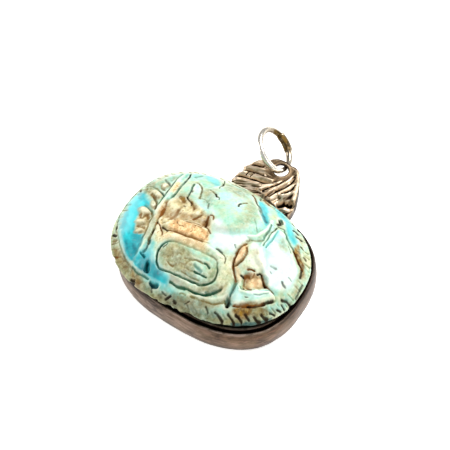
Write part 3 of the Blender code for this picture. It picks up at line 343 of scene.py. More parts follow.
# The oval name ring, a rectangle with round ends
RING_MIDDLE = (-0.3, -5.2)
RING_TURN = math.radians(5)
RING_HALF_LENGTH = 4.0
RING_HALF_WIDTH = 1.65
RING_LINE = (0.26, 0.34)  # width and depth
RING_BORDER = (0.9, 0.22)  # width and height
# The notches all round the rim, fainter than the cuts above
RIM_NOTCHES = 64
NOTCH_STAIN = 0.75
NOTCH_CLARITY = (0.15, 0.85)  # the faintest and the clearest
NOTCH_DEPTH = 0.22
NOTCH_WIDTH = 0.24
NOTCH_LENGTH = 0.8
NOTCH_INSET = 0.55
NOTCH_RADIAL = 0.5
NOTCH_ALONG = 0.85
# Places where the rim has broken away: how far in, half length along the rim, middle
RIM_CHIPS = (
    (0.30, 0.7, (2.3, -9.5)), (0.35, 0.35, (-5.7, -9.3)), (0.25, 0.5, (-0.3, -9.7)),
    (0.20, 0.4, (0.7, -9.7)), (0.18, 0.3, (-2.0, -9.8)), (0.15, 0.4, (12.4, -1.9)),
    (0.15, 0.3, (7.8, 7.9)), (0.12, 0.3, (-11.6, -3.9)), (0.14, 0.4, (-9.3, -7.4)),
)
CHIP_DROP = 0.35  # how much lower the rim's top would be at a chip as large as the next value
DEEPEST_CHIP = 0.45

# Dirt, glaze and wear, and the painted shade and highlights of fine hollows and edges
RING_LINE_STAIN = 0.8
RING_LINE_FADES = (-5.2, 1.6)  # from which height on the sheet its upper side is cleaner, and how soon
STAIN_ROUND_CUTS = {"earth": "olive", "green": "olive", "olive": "olive", "brown": "ochre",
                    "ochre": "ochre", "deep": "deep", "pool": "deep"}
DIRT_COVERS = 2.2  # how soon a little dirt hides the glaze under it
CUT_BREAKS = 0.7  # length of the stretches where a cut is cleaner or fuller
HALO_WIDTH = 2.6
HALO_STRENGTH = 0.4
HAND_WOBBLE = 0.08
PATCH_RAGGEDNESS = 0.12
GLAZE_UNEVENNESS = 0.045
STONE_UNEVENNESS = 0.12
UNEVENNESS_SIZE = 1.3
EDGE_UNEVENNESS = 0.05
PIT_SIZE = 0.28
PIT_DEPTH = 0.07
# How many grid points off a place's surroundings are looked at, and how far it then lies under or over them
# when it is wholly filled with dirt or wholly rubbed; at the crevice reach the darkening is painted shade and
# the lightening a painted highlight
SUNK_REACH = 6
SUNK_DEPTH = 0.16
CREVICE_SHADING_REACH = 2
CREVICE_SHADING_DEPTH = 0.045
# Going down under the rim: height, how far out from the neck to the rim, and painted shade
NECK_PROFILE = (
    (NECK_TOP + RIM_UNDERCUT, 1.0, 0.0),
    (NECK_TOP + 0.62, 0.88, 0.35),
    (NECK_TOP, 0.0, 1.0),
    (1.2, 0.0, 1.0),
)
STAINS = ("turquoise", "deep", "pale", "cream", "peach", "ochre", "olive", "mauve", "brown", "green", "pool",
          "earth")
# Where each colour lies: colour, strength, edge width and outline
PATCHES = (
    ("turquoise", 1.15, 1, (
        (-12, 1.9), (-11, 2), (-10.3, 1.2), (-9.2, 0.5), (-8.9, 0), (-9.9, -0.5), (-9.7, -1.6), (-9.2, -2.7),
        (-8.3, -3.7), (-7.2, -4), (-6.9, -5.4), (-6.6, -7.4), (-7.8, -7.4), (-9.3, -6), (-10.7, -4.4),
        (-11.7, -2.2), (-12, -0.2))),
    ("turquoise", 1.15, 1.3, (
        (-6.7, -6.3), (-5.9, -5.9), (-4.7, -6.2), (-3.6, -6.8), (-1.9, -7.4), (-1.1, -8), (-1.7, -8.5),
        (-3.2, -8.6), (-5, -8.2), (-6.5, -7.7))),
    ("turquoise", 0.5, 1.2, ((-4.6, -8.2), (-2, -8), (0.5, -8.3), (1.2, -8.8), (-1.5, -9.2), (-4, -9))),
    ("turquoise", 0.6, 0.6, (
        (-6.3, -4.6), (-5.6, -4.5), (-4.9, -5.4), (-4.4, -6.1), (-5.6, -6.3), (-6.4, -5.8))),
    ("deep", 1.15, 1.6, ((-9.4, -5.4), (-8.2, -5.2), (-6.9, -5.6), (-6.4, -7.8), (-7.7, -7.4))),
    ("deep", 0.65, 0.8, ((-9, -4.2), (-7.4, -4.1), (-7, -5.2), (-8.4, -5.4))),
    ("pale", 0.2, 1.2, ((-12.1, 1.5), (-11, 1.6), (-10.4, -1.5), (-9.6, -3.6), (-10.6, -4.6), (-11.7, -2.4))),
    ("deep", 1, 1.3, ((-6.2, -6.4), (-4.3, -6.3), (-2.4, -7.2), (-2.6, -8.2), (-5.6, -8.1))),
    ("turquoise", 0.75, 0.7, ((-6, 8.3), (-4.8, 8.5), (-3.4, 7.6), (-3, 6.6), (-3.6, 6.4), (-5.2, 7.2))),
    ("turquoise", 0.9, 0.5, ((1.9, 8), (2.6, 8.1), (3.9, 6.8), (5, 5.2), (5, 4.2), (4.3, 4.6), (3.1, 6.3))),
    ("turquoise", 0.9, 0.7, (
        (3.2, 9.2), (4.9, 8.9), (6.8, 7.7), (8.4, 6), (8.9, 5), (8, 4.9), (6.9, 6), (6.1, 7.3), (4.7, 7.6))),
    ("turquoise", 0.6, 0.4, ((6.4, 4.9), (6.75, 4.9), (7, 3), (7, 1.3), (6.6, 1.3))),
    ("turquoise", 0.5, 0.7, ((6, -4.4), (6.6, -4.6), (6.8, -6.4), (5.9, -6.4))),
    ("turquoise", 0.45, 0.8, ((4.6, -8.3), (5.8, -7.2), (6.8, -6.9), (7.1, -7.6), (6.2, -8.4))),
    ("turquoise", 0.5, 0.7, ((10, -4.4), (11, -3.2), (11.6, -1.4), (12.1, -1.6), (11.9, -3.2), (10.9, -4.4))),
    ("turquoise", 0.35, 0.6, ((-8.2, 2.4), (-7, 2.6), (-6.7, 1.4), (-7.4, 0.9), (-8, 1.4))),
    ("turquoise", 0.35, 0.9, ((-9, 6), (-7.6, 7.6), (-5, 8.7), (-5, 7.6), (-7, 6.4), (-8, 5.4))),
    ("cream", 1, 0.6, (
        (-7.5, 0.9), (-6.6, 1.6), (-5.6, 2.1), (-4, 2), (-2.4, 1.5), (-1.2, 0.9), (-0.3, 0.3), (0.2, -0.8),
        (0.6, -1.9), (0.6, -2.9), (-1.6, -3.5), (-3.4, -3.7), (-4.7, -4.3), (-5.5, -3.9), (-6.2, -3),
        (-6.7, -2), (-7.2, -0.8))),
    ("cream", 0.9, 0.6, (
        (-5.2, -3.4), (-3.6, -3), (-1, -2.8), (1, -2.8), (1.5, -3.2), (-0.8, -3.5), (-3.4, -3.8),
        (-4.8, -4.6), (-5.6, -4.2))),
    ("peach", 0.4, 0.6, ((-4.6, -3.2), (-2, -2.8), (0.6, -2.7), (0.4, -3.2), (-2.4, -3.5), (-4.4, -3.9))),
    ("cream", 0.9, 0.4, (
        (-9.9, -0.4), (-9.2, -0.5), (-8.3, -1), (-7.7, -1.8), (-7.3, -3), (-7.4, -3.9), (-8.3, -3.9),
        (-9.2, -2.7), (-9.6, -1.5))),
    ("cream", 0.8, 0.4, ((-9.2, 0.7), (-8.4, 0.5), (-7.9, -0.3), (-8.3, -0.4))),
    ("cream", 0.7, 0.5, ((-10.6, 2.6), (-9.4, 2.7), (-8.4, 1.9), (-8.6, 1.2), (-9.6, 1.7), (-10.6, 1.9))),
    ("cream", 0.6, 0.5, ((-9.7, 4.3), (-8.9, 4.1), (-8.5, 3.4), (-9.2, 3.2))),
    ("cream", 0.5, 0.5, ((-7.8, 4.6), (-7.3, 4.6), (-7.1, 2.9), (-7.7, 2.9))),
    ("peach", 1, 0.7, (
        (-4.6, -1.2), (-2.6, -1), (-0.6, -0.9), (0.3, -1.4), (0.4, -2.4), (-2, -2.7), (-4.3, -2.7))),
    ("peach", 0.8, 0.5, ((4.6, 0.2), (5.1, -0.1), (5.4, -1.2), (5.2, -2.4), (4.9, -2.8), (4.6, -2))),
    ("peach", 0.7, 0.6, ((6.9, -2.7), (8, -1.9), (9, -2.5), (8.4, -3.3), (7.4, -4.2), (6.9, -3.9))),
    ("peach", 0.7, 0.4, ((-7.75, 4.4), (-7.35, 4.4), (-7.2, 3), (-7.55, 2.7))),
    ("peach", 0.5, 0.4, ((-7.3, 0.2), (-6.95, 0), (-6.7, -1.6), (-7, -1.6))),
    ("peach", 0.5, 0.5, ((4.9, -2.8), (5.6, -2.7), (6.2, -3.8), (5.7, -3.8))),
    ("brown", 0.6, 0.7, (
        (-5.9, -0.2), (-5.3, 0.4), (-5, 0.8), (-4.6, -0.2), (-4.6, -1.1), (-5.2, -1.4), (-5.7, -0.8))),
    ("brown", 0.45, 0.7, (
        (-6.3, -0.3), (-5.4, 0.3), (-4, 0.3), (-2.7, 0.4), (-1, 0.5), (-0.4, -0.3), (-2.4, -0.7),
        (-4.6, -0.9), (-5.8, -1.3))),
    ("brown", 0.3, 0.4, ((-7.3, 0.9), (-6.9, 0.8), (-6.5, -0.9), (-6.9, -1.2), (-7.2, -0.4))),
    ("ochre", 0.35, 0.5, (
        (-9.4, -1.2), (-8.6, -1.3), (-7.9, -1.9), (-7.7, -3.2), (-8.7, -3.3), (-8.2, -2.4), (-9.2, -2.1))),
    ("brown", 0.5, 0.5, ((6.5, -2.9), (7.2, -2.2), (7.3, -3), (6.9, -3.6))),
    ("cream", 0.45, 0.8, ((5.7, 0.3), (7.6, -0.1), (8, -1.4), (7, -1.9), (5.9, -2.9), (5.6, -1.4))),
    ("cream", 0.5, 0.8, ((-3.4, -4.4), (-1, -4), (0.4, -4.6), (0.6, -5.6), (-0.4, -6.5), (-3.2, -6.3))),
    ("cream", 0.5, 1, ((1.6, -3.4), (4.2, -2), (5, -3.6), (5.6, -5.6), (4.9, -6.6), (3.9, -5), (3.4, -3.9))),
    ("olive", 0.65, 1, (
        (-4.1, -5.2), (-3.2, -4.3), (-1, -3.9), (0.2, -4.4), (0.6, -5.2), (1.9, -6.1), (3.3, -5.9),
        (2.6, -6.5), (-1, -6.8), (-3.3, -6.4))),
    ("olive", 0.45, 0.6, ((2.8, -3.8), (3.6, -4.4), (3.7, -5.6), (3, -6.2), (2.8, -5.2))),
    ("olive", 0.6, 0.5, (
        (-1.4, -7.2), (1, -7.1), (3, -6.6), (4.1, -5.6), (4.5, -5.7), (3.8, -6.8), (2.4, -7.4),
        (-0.6, -7.7))),
    ("ochre", 0.35, 0.7, (
        (0.2, -8.6), (1.8, -8.2), (4.6, -7.6), (5.6, -7), (4.4, -8.2), (2.2, -9), (0, -9.2))),
    ("olive", 0.8, 0.8, (
        (-9.8, -6.3), (-8, -7.9), (-6, -8.5), (-4.2, -8.9), (-4.6, -9.4), (-7, -8.9), (-9.2, -7.7))),
    # Olive stain and painted shade along the whole low front of the rim
    ("olive", 0.9, 0.9, (
        (-9.6, -6.6), (-5, -8.6), (0, -9.1), (5, -8.4), (8.6, -6.6), (10.6, -4.8), (11, -5.4), (8.6, -7.8),
        (5, -9.1), (0, -9.9), (-5.4, -9.6), (-9.6, -7.8))),
    ("olive", 0.6, 0.7, (
        (-0.4, -8.5), (3, -8), (5.2, -7), (5.9, -5.9), (5.4, -7.3), (3.6, -8.4), (0.4, -9.2), (-1.6, -9.3))),
    ("olive", 0.5, 1.4, ((-2.8, 8.2), (-0.5, 8.6), (0.6, 8), (0.4, 6.6), (-1.4, 6.2), (-2.6, 7))),
    # The next two are painted shade on the wing mound's lower right slope, laid in olive
    ("olive", 0.35, 1.4, ((-0.4, 7.6), (2.3, 6.4), (4, 3.4), (3.4, 1.8), (2.2, 0.8), (2.6, 3.4), (1.4, 6))),
    ("olive", 0.3, 0.9, (
        (0.8, -0.4), (2, 0.2), (3.2, 1.2), (4, 2.6), (3.9, 3.4), (3, 2.4), (1.8, 1), (0.8, 0.2))),
    ("olive", 0.35, 0.8, ((-4.4, 4.2), (-3.2, 5.8), (-2, 4.6), (-1.6, 2.4), (-3, 2.2), (-3.3, 3.4))),
    ("olive", 0.8, 0.6, ((-11.9, 4), (-10.9, 4.2), (-10.4, 2.8), (-10.9, 1.9), (-11.5, 2.6))),
    ("olive", 0.3, 1, ((-11, 5), (-9, 6), (-8.7, 4.6), (-9.8, 3.2), (-11, 3.4))),
    ("olive", 0.5, 0.5, ((-7.5, -1.4), (-6.9, -1.6), (-6.3, -4.4), (-6.9, -4.2))),
    ("ochre", 1, 0.5, (
        (9.1, 5.3), (9.5, 5), (10.3, 4), (11.1, 3.3), (11.7, 2.4), (11.6, 1.8), (11.1, 2.6), (10.2, 3.2),
        (9.3, 3.9))),
    ("ochre", 1, 0.6, ((7.1, -6.5), (8, -5.7), (8.9, -5.1), (9.1, -6.4), (8.4, -6.9), (7.4, -6.9))),
    ("ochre", 0.4, 0.7, ((8.9, -5.1), (10.2, -4.2), (10.7, -4.6), (10.3, -5.4), (9.4, -6.2))),
    ("olive", 0.9, 0.6, ((8.7, -5.2), (10.2, -4.2), (10.9, -4.5), (10.4, -5.5), (9.4, -6.3))),
    ("ochre", 0.4, 0.7, (
        (-10.9, -5.3), (-9.6, -6.4), (-8.3, -7.3), (-6.6, -8.2), (-7.6, -8.3), (-9, -7.6), (-10.4, -6.6),
        (-11.3, -5.3))),
    ("ochre", 0.6, 0.6, ((-6.3, -8.3), (-5.2, -8.4), (-4.4, -8.8), (-5, -9.3), (-5.9, -9))),
    ("ochre", 0.5, 0.4, ((1.8, 9.5), (2.7, 9.3), (3, 8.7), (2.3, 8.9))),
    ("ochre", 0.35, 0.8, ((7.6, 4.3), (8.6, 3.6), (8.6, 2.7), (7.9, 2.8))),
    ("ochre", 0.4, 0.5, ((11.6, 0.6), (12.1, 0.2), (12.2, -0.9), (11.8, -0.9))),
    ("ochre", 0.3, 0.6, ((2.4, -6.6), (3.4, -6.4), (3.2, -7), (2.2, -7.1))),
    # The next four: pale thin glaze, with a painted highlight where the light falls brightest
    ("pale", 0.8, 1.2, (
        (0.6, 1.2), (2.6, 0.2), (4.2, 1.6), (4.6, 0.4), (4, -1.4), (2.2, -2.2), (1, -2.4), (0.6, -0.8),
        (-0.2, 0.6))),
    ("pale", 0.8, 1.2, (
        (7.2, 2.6), (8.6, 2.8), (10.4, 2.4), (11.4, 0.6), (11.2, -1.2), (9.4, -2.1), (8.2, -1.2),
        (7.6, 0.4))),
    ("pale", 0.6, 0.8, ((5, 1.4), (6.2, 1.4), (7.4, 0.4), (6.2, 0), (5.2, 0.4))),
    ("pale", 0.7, 0.8, ((5.8, 0.6), (7.4, 0.4), (9.2, -1), (9, -1.9), (7.7, -1.3), (6.6, -1.6), (5.8, -0.9))),
    ("pale", 0.5, 1, ((-5, 5), (-4.4, 4.8), (-3.8, 3), (-2.6, 2.6), (-0.6, 1.6), (-2.6, 1.8), (-4.4, 2.8))),
    ("pale", 0.4, 0.7, ((6.6, -4.6), (7.4, -4.8), (9.8, -3), (10.2, -3.2), (7.6, -5.8), (6.8, -5.8))),
    # Pale glaze on the dome's top, partly a painted highlight
    ("pale", 0.1, 2, (
        (-2.6, 6.2), (0, 7.2), (1.8, 6.4), (3.4, 4.4), (3.4, 3.2), (2.4, 1.6), (0.6, 0.8), (-1.6, 2.6))),
    ("pale", 0.3, 1.4, ((-12, 4.6), (-9.6, 7.8), (-5, 9.2), (-0.6, 9.6), (-4, 8.6), (-8, 7.2), (-10.6, 4.8))),
    # Painted shade on the rim's outer edge at the low side near the tail, over teal glaze
    ("pool", 0.85, 0.2, (
        (7.58, -7.84), (8.57, -7.28), (9.57, -6.56), (10.57, -5.6), (11.37, -4.52), (11.7, -4.7),
        (10.9, -5.9), (9.85, -6.85), (8.8, -7.6), (7.7, -8.2))),
    ("earth", 0.4, 0.8, (
        (-1.6, -9), (1, -8.7), (3.6, -8.4), (5.8, -7.8), (6, -8.4), (3.4, -9.2), (0.6, -9.6), (-1.6, -9.7))),
    ("mauve", 0.5, 0.8, ((-1.6, -7.3), (-0.2, -7.3), (0.3, -7.7), (-0.9, -7.9))),
    ("mauve", 0.3, 0.7, ((4.6, -6.7), (5.4, -6.2), (5.6, -5.4), (5.1, -5.7))),
    ("mauve", 0.3, 0.6, ((-5.6, -9.2), (-4, -9.3), (-3.2, -9.6), (-5, -9.9))),
)

# Colours of the glaze in the order they lie: mark, colour, strength, pattern and patchiness
GLAZE_LAYERS = (
    ("rim", "#B5A873", 0.6, "drifts", 0.8),
    ("turquoise", "#1CC6CE", 1.0, "clouds", 0.1),
    ("deep", "#025E6C", 1.0, "mottling", 0.2),
    ("pale", "#DCEAEA", 1.0, "mottling", 0.3),
    ("cream", "#F2E0B0", 1.0, "mottling", 0.25),
    ("flecked", "#EDE6C4", 0.4, "light flecks", 1.0),
    ("flecked", "#7C8550", 0.4, "dark flecks", 1.0),
    # Lighter on raised places: rubbed glaze, with a painted highlight on fine edges
    ("worn", "#F2F2DA", 0.75, "mottling", 0.4),
    ("peach", "#FDD29A", 1.0, "mottling", 0.35),
    ("peach", "#A8622A", 0.6, "crumbs", 1.0),
    ("cream", "#B29650", 0.3, "crumbs", 1.0),
    ("olive", "#7A7234", 0.85, "mottling", 0.4),
    ("olive", "#403C14", 0.6, "crumbs", 1.0),
    ("ochre", "#8E6A14", 1.0, "mottling", 0.25),
    ("ochre", "#4E3006", 0.85, "crumbs", 1.0),
    ("mauve", "#A08A84", 0.9, "mottling", 0.5),
    # The next two darken hollows: dirt, with painted shade in fine crevices
    ("sunk", "#5C6A3E", 0.65, "mottling", 0.4),
    ("sunk_bare", "#7A5524", 0.75, "mottling", 0.3),
    ("brown", "#6A3A0C", 1.0, "mottling", 0.2),
    ("brown", "#8A5A24", 0.5, "crumbs", 1.0),
    ("green", "#0F4A34", 1.0, "mottling", 0.2),
    ("pool", "#05454A", 1.0, "mottling", 0.2),
    # earth: dirt in the cuts and chips, and painted shade on the neck under the rim
    ("earth", "#1C0F04", 1.0, "mottling", 0.1),
)
# Patterns that break the layers up: size in millimetres and detail
GLAZE_PATTERNS = {"clouds": (3.0, 4.0), "drifts": (1.8, 5.0), "mottling": (0.7, 5.0), "crumbs": (0.45, 3.0),
                  "light flecks": (0.5, 4.0), "dark flecks": (0.38, 4.0), "specks": (0.22, 3.0)}

# The silver bezel, with its half sizes at the stone's seat
SEAT_HALF_LENGTH = 11.2
SEAT_HALF_WIDTH = 8.6
WALL_STARTS = 0.65
BEZEL_SIDES = 240
DENT_SIZE = 2.4
DENT_DEPTH = 0.035
DENTS_INSIDE = 0.2  # how strong the dents are inside the wall and under it
# Painted shadow: the bezel's lips are darkened where the stone's edge shades them
LIP_SHADOW_DARKNESS = 0.95
SHADOWED_LIPS = ((math.radians(35), 3.0), (math.radians(205), 2.8))  # on which sides the lips get painted shadow, and down to what height
SIDE_HIGHLIGHT_AT = math.radians(215)  # the side of the wall given a painted highlight
SIDE_HIGHLIGHT_STRENGTH = 0.7
# Outwards from the seat, height, tarnish and rubbing
BEZEL_PROFILE = (
    (0.0, 0.9, 1.0, 0.0),
    (0.0, 3.4, 1.0, 0.0),
    (0.03, 3.52, 0.6, 0.2),
    (0.1, 3.55, 0.0, 1.0),
    (0.22, 3.55, 0.0, 1.0),
    (0.31, 3.52, 0.3, 0.4),
    (0.35, 3.42, 0.8, 0.0),
    (0.35, 2.6, 1.0, 0.0),
    (0.65, 2.6, 1.0, 0.0),
    (0.65, 3.2, 0.9, 0.0),
    (0.68, 3.31, 0.9, 0.0),
    (0.74, 3.35, 0.7, 0.3),
    (0.88, 3.35, 0.0, 1.0),
    (0.95, 3.31, 0.1, 0.8),
    (1.02, 3.15, 0.3, 0.3),
    (1.1, 2.85, 0.3, 0.0),
    (1.17, 2.42, 0.15, 0.1),
    (1.23, 1.9, 0.0, 0.2),
    (1.27, 1.34, 0.0, 0.3),
    (1.26, 0.9, 0.1, 0.2),
    (1.23, 0.5, 0.3, 0.1),
    (1.13, 0.2, 0.5, 0.2),
    (0.92, 0.0, 0.8, 0.0),
)

# The cast bail, with its highest point read from the frame
BAIL_PEAK = (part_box("bail")[1] / MM).z
BEZEL_HALF_LENGTH = 12.47
BEZEL_HALF_WIDTH = 9.87
BAIL_CLEARANCE = 0.3
BAIL_UNDERSIDE = 1.4
BAIL_TOP = 3.25
BAIL_LEAST_THICKNESS = 0.3
EYELET_TOP = 3.62
EYELET_THICKNESS = 0.45
EYELET_MARGIN = 0.55
EYELET_HOLE = 0.98
EYELET_FADE = 0.9
UNDERSIDE_RELIEF = 0.47
UNDERSIDE_FADE = 1.0
HOLE_LIP_WIDTH = 0.14
HOLE_LIP_RISE = 0.04
BAIL_RINGS = 56
BAIL_MIDDLE = (0.1, 3.1)
EYELET_MIDDLE = (0.3, 5.0)
BAIL_FOLLOWS = 2.0
BAIL_EDGE_DROP = 0.35
BAIL_EDGE_STARTS = 0.9
CAST_UNEVENNESS = 0.035
BAIL_OUTLINE = (
    (4.3, 0.3), (4.35, 1.8), (3.9, 3.2), (3.3, 4.6), (2.6, 5.7), (1.9, 6.3), (1.1, 6.35), (0.2, 6.5),
    (-0.8, 6.4), (-1.6, 5.9), (-2.4, 5.5), (-3.2, 5.1), (-3.6, 4.3), (-4.1, 3.4), (-3.9, 2.5), (-4.4, 1.2),
    (-3.9, 0.3), (-2.4, 0.05), (0, 0), (2.4, 0.05),
)
# Blades of the leaves: width, height and points
BAIL_RIDGES = (
    (0.8, 0.42, ((-4.3, 0.9), (-3, 1.3), (-1.2, 1.6), (0.2, 1.9))),
    (0.75, 0.5, ((-4.2, 1.9), (-3, 2.4), (-1.4, 2.7), (0, 3.1))),
    (0.8, 0.45, ((-3.9, 3.1), (-2.8, 3.6), (-1.6, 3.9), (-0.8, 4.1))),
    (0.7, 0.35, ((-3.3, 4.4), (-2.4, 4.9), (-1.5, 5.1))),
    (0.6, 0.5, ((1.2, 3.9), (0.8, 2.9), (0.1, 1.9), (-0.6, 1))),
    (0.55, 0.55, ((1.9, 5.4), (1.9, 4.2), (1.5, 3), (0.9, 1.8), (0.3, 0.7))),
    (0.85, 0.75, ((2.1, 6), (2.9, 5), (3.4, 3.9), (3.8, 2.7), (4, 1.9))),
    (0.9, 0.55, ((2.7, 3.6), (2.3, 2.5), (1.7, 1.4), (1.3, 0.6))),
    (0.5, 0.45, ((3.3, 2.8), (2.9, 2.2), (2.4, 1.6))),
)
# Gaps between them: width, depth and points
BAIL_GROOVES = (
    (0.2, 0.4, ((-4.2, 1.4), (-3, 1.85), (-1.2, 2.2), (0.3, 2.5))),
    (0.2, 0.45, ((-4, 2.5), (-2.8, 3), (-1.4, 3.3), (0.2, 3.6))),
    (0.2, 0.45, ((-3.6, 3.8), (-2.6, 4.2), (-1.2, 4.5))),
    (0.16, 0.3, ((-3.1, 2.1), (-3, 2.6))),
    (0.16, 0.3, ((-2.5, 2.2), (-2.35, 2.8))),
    (0.2, 0.45, ((1.5, 4.6), (1.3, 3.3), (0.6, 2.2), (-0.1, 1.2))),
    (0.24, 0.55, ((2.3, 4.9), (2.4, 3.8), (2.1, 3), (1.5, 1.9), (1, 0.9))),
    (0.22, 0.35, ((3.1, 3.9), (2.9, 2.9), (2.2, 1.8))),
    (0.55, 1.1, ((3.9, 1.3), (3.2, 1.1), (2.7, 0.6))),
)
# The fine lines along the blades: across, along and depth, then where the left leaf ends and how both lean
STRIATION_WIDTH = 0.14
STRIATION_LENGTH = 1.3
STRIATION_DEPTH = 0.12
LEFT_LEAF_ENDS = 0.2
LEFT_LEAF_SLANT = 0.35
RIGHT_LEAF_SLANT = 0.4
PLATE_TARNISH = 0.63
UNDERSIDE_TARNISH = 0.8

# The jump ring
RING_WIRE = 0.86
RING_RADIUS = 2.8
SLEEVE_WIRE = 1.2
SLEEVE_AT = math.radians(250)
SLEEVE_SWEEP = math.radians(50)
SLEEVE_STEP = math.radians(6)
SEAM_DEPTH = 0.13
SEAM_AT = -0.5
SEAM_WIDTH = 0.3
SLEEVE_TARNISH = 0.75
INNER_TARNISH_AND_SHADE = 0.9  # on the side of the wire that faces the loop's middle: tarnish and painted shade
BRIGHT_AT = math.radians(50)  # the side of the loop that rubs bright
RING_PLANE_NORMAL = (0.66, 0.335, 0.67)
RING_CENTRE_DIRECTION = (-0.71, 0.60, 0.37)
RING_STATIONS = 144
WIRE_SIDES = 24

# The stage
FLOOR_HALF_WIDTH = 1200
FLOOR_LEVEL = -0.01
CAMERA_AZIMUTH = 31.7
CAMERA_ELEVATION = 57.0
CAMERA_DISTANCE = 260
CAMERA_TARGET = (-2.6, 6.4, 0.0)
CAMERA_LENS = 164.7


# Drawing on a sheet

def smooth_path(points, closed=False, steps=5):
    """Points along a smooth curve through the given ones."""
    given = np.array(points, dtype=float)
    if closed:
        padded = np.vstack([given[-1], given, given[0], given[1]])
    else:
        padded = np.vstack([2 * given[0] - given[1], given, 2 * given[-1] - given[-2]])
    path = []
    for before, start, end, after in zip(padded[:-3], padded[1:-2], padded[2:-1], padded[3:]):
        for step in range(steps):
            t = step / steps
            path.append(0.5 * (2 * start + (end - before) * t
                               + (2 * before - 5 * start + 4 * end - after) * t ** 2
                               + (3 * start - before - 3 * end + after) * t ** 3))
    path.append(padded[-2] if not closed else path[0])
    return np.array(path)


def distance_to(x, y, path):
    """Distance from each point to a path."""
    nearest = np.full(x.shape, np.inf)
    for start, end in zip(path[:-1], path[1:]):
        run = end - start
        length = max(float(run @ run), 1e-12)
        share = np.clip(((x - start[0]) * run[0] + (y - start[1]) * run[1]) / length, 0, 1)
        gap = np.hypot(x - start[0] - share * run[0], y - start[1] - share * run[1])
        nearest = np.minimum(nearest, gap)
    return nearest


def inside(x, y, path):
    """Which points lie inside a closed path."""
    within = np.zeros(x.shape, dtype=bool)
    for start, end in zip(path[:-1], path[1:]):
        if start[1] == end[1]:
            continue
        crosses = (start[1] > y) != (end[1] > y)
        within ^= crosses & (x < start[0] + (y - start[1]) * (end[0] - start[0]) / (end[1] - start[1]))
    return within


def ease(value):
    """A soft step from 0 to 1."""
    t = np.clip(value, 0, 1)
    return t * t * (3 - 2 * t)


def close_by(x, y, path, reach):
    """Which points lie within reach of a path's own rectangle, so that the rest needn't be measured."""
    low = path.min(axis=0) - reach
    high = path.max(axis=0) + reach
    return (x > low[0]) & (x < high[0]) & (y > low[1]) & (y < high[1])


def stroke(x, y, width, points):
    """A soft line, 1 along its middle and 0 away from it."""
    path = smooth_path(points)
    value = np.zeros(x.shape)
    near = close_by(x, y, path, 2.5 * width)
    value[near] = np.exp(-(distance_to(x[near], y[near], path) / (width / 2)) ** 2)
    return value


def patch(x, y, edge, outline):
    """A soft-edged area, 1 inside its outline and 0 outside."""
    path = smooth_path(outline, closed=True)
    value = np.zeros(x.shape)
    near = close_by(x, y, path, edge)
    depth = distance_to(x[near], y[near], path) * np.where(inside(x[near], y[near], path), 1, -1)
    value[near] = ease(0.5 + depth / edge)
    return value


def grain(x, y, size, seed):
    """Smooth random bumps about size across, from -1 to 1."""
    table = np.random.default_rng(seed).uniform(-1, 1, (128, 128))
    column = np.floor(x / size).astype(int)
    row = np.floor(y / size).astype(int)
    across = ease(x / size - column)
    up = ease(y / size - row)
    corners = [[table[(column + i) % 128, (row + j) % 128] for j in (0, 1)] for i in (0, 1)]
    lower = corners[0][0] + (corners[1][0] - corners[0][0]) * across
    upper = corners[0][1] + (corners[1][1] - corners[0][1]) * across
    return lower + (upper - lower) * up


def rough(x, y, size, seed, layers=4):
    """Bumps of several sizes, each layer half as large and half as high as the one before."""
    total = np.zeros(np.shape(x))
    for layer in range(layers):
        total += grain(x, y, size / 2 ** layer, seed + layer) / 2 ** layer
    return total


def turned(x, y, middle, turn):
    """Where points are from a middle, along a direction and across it."""
    dx = x - middle[0]
    dy = y - middle[1]
    return dx * math.cos(turn) + dy * math.sin(turn), dy * math.cos(turn) - dx * math.sin(turn)


def petal(x, y, middle, half_length, half_width, lean):
    """A raised leaf-shaped drop."""
    along, across = turned(x, y, middle, math.radians(lean))
    return ease(1.5 - np.sqrt((along / half_length) ** 2 + (across / half_width) ** 2))


def outside_ring(x, y):
    """Distance outwards from the oval name ring's line."""
    along, across = turned(x, y, RING_MIDDLE, RING_TURN)
    straight = RING_HALF_LENGTH - RING_HALF_WIDTH
    return np.hypot(np.maximum(np.abs(along) - straight, 0), across) - RING_HALF_WIDTH


def outline_point(half_length, half_width, roundness, egg, angles):
    """Points round an egg-shaped outline."""
    cosines = np.cos(angles)
    sines = np.sin(angles)
    x = half_length * np.sign(cosines) * np.abs(cosines) ** (2 / roundness)
    y = half_width * np.sign(sines) * np.abs(sines) ** (2 / roundness)
    return x, y * (1 - egg * x / half_length)


def stone_outline(angles, inset=0.0):
    """Points round the stone's rim, or inside it."""
    return outline_point(STONE_LENGTH / 2 - inset, STONE_WIDTH / 2 - inset,
                         STONE_ROUNDNESS, STONE_EGG, angles)


def neck_outline(half_length, half_width, angles):
    """Points round the stone's neck, or the bezel that takes it."""
    return outline_point(half_length, half_width, NECK_ROUNDNESS, NECK_EGG, angles)


# Meshes

def disc_grid(rings):
    """Radius share and angle of each point of a grid pressed into a disc, its faces and its edge."""
    side = 2 * rings + 1
    steps = np.arange(-rings, rings + 1)
    column, row = np.meshgrid(steps, steps)
    column = column.ravel().astype(float)
    row = row.ravel().astype(float)
    wide = np.abs(column) > np.abs(row)
    radius = np.where(wide, column, row)
    safe = np.where(radius == 0, 1, radius)
    angle = np.where(wide, math.pi / 4 * row / safe, math.pi / 2 - math.pi / 4 * column / safe)
    angle = np.where(radius < 0, angle + math.pi, angle) % (2 * math.pi)
    share = np.abs(radius) / rings
    faces = []
    for j in range(side - 1):
        for i in range(side - 1):
            corner = j * side + i
            faces.append((corner, corner + 1, corner + side + 1, corner + side))
    on_edge = np.flatnonzero(share == 1)
    edge = on_edge[np.argsort(np.round(angle[on_edge], 9))]
    return share, angle, faces, [int(index) for index in edge]


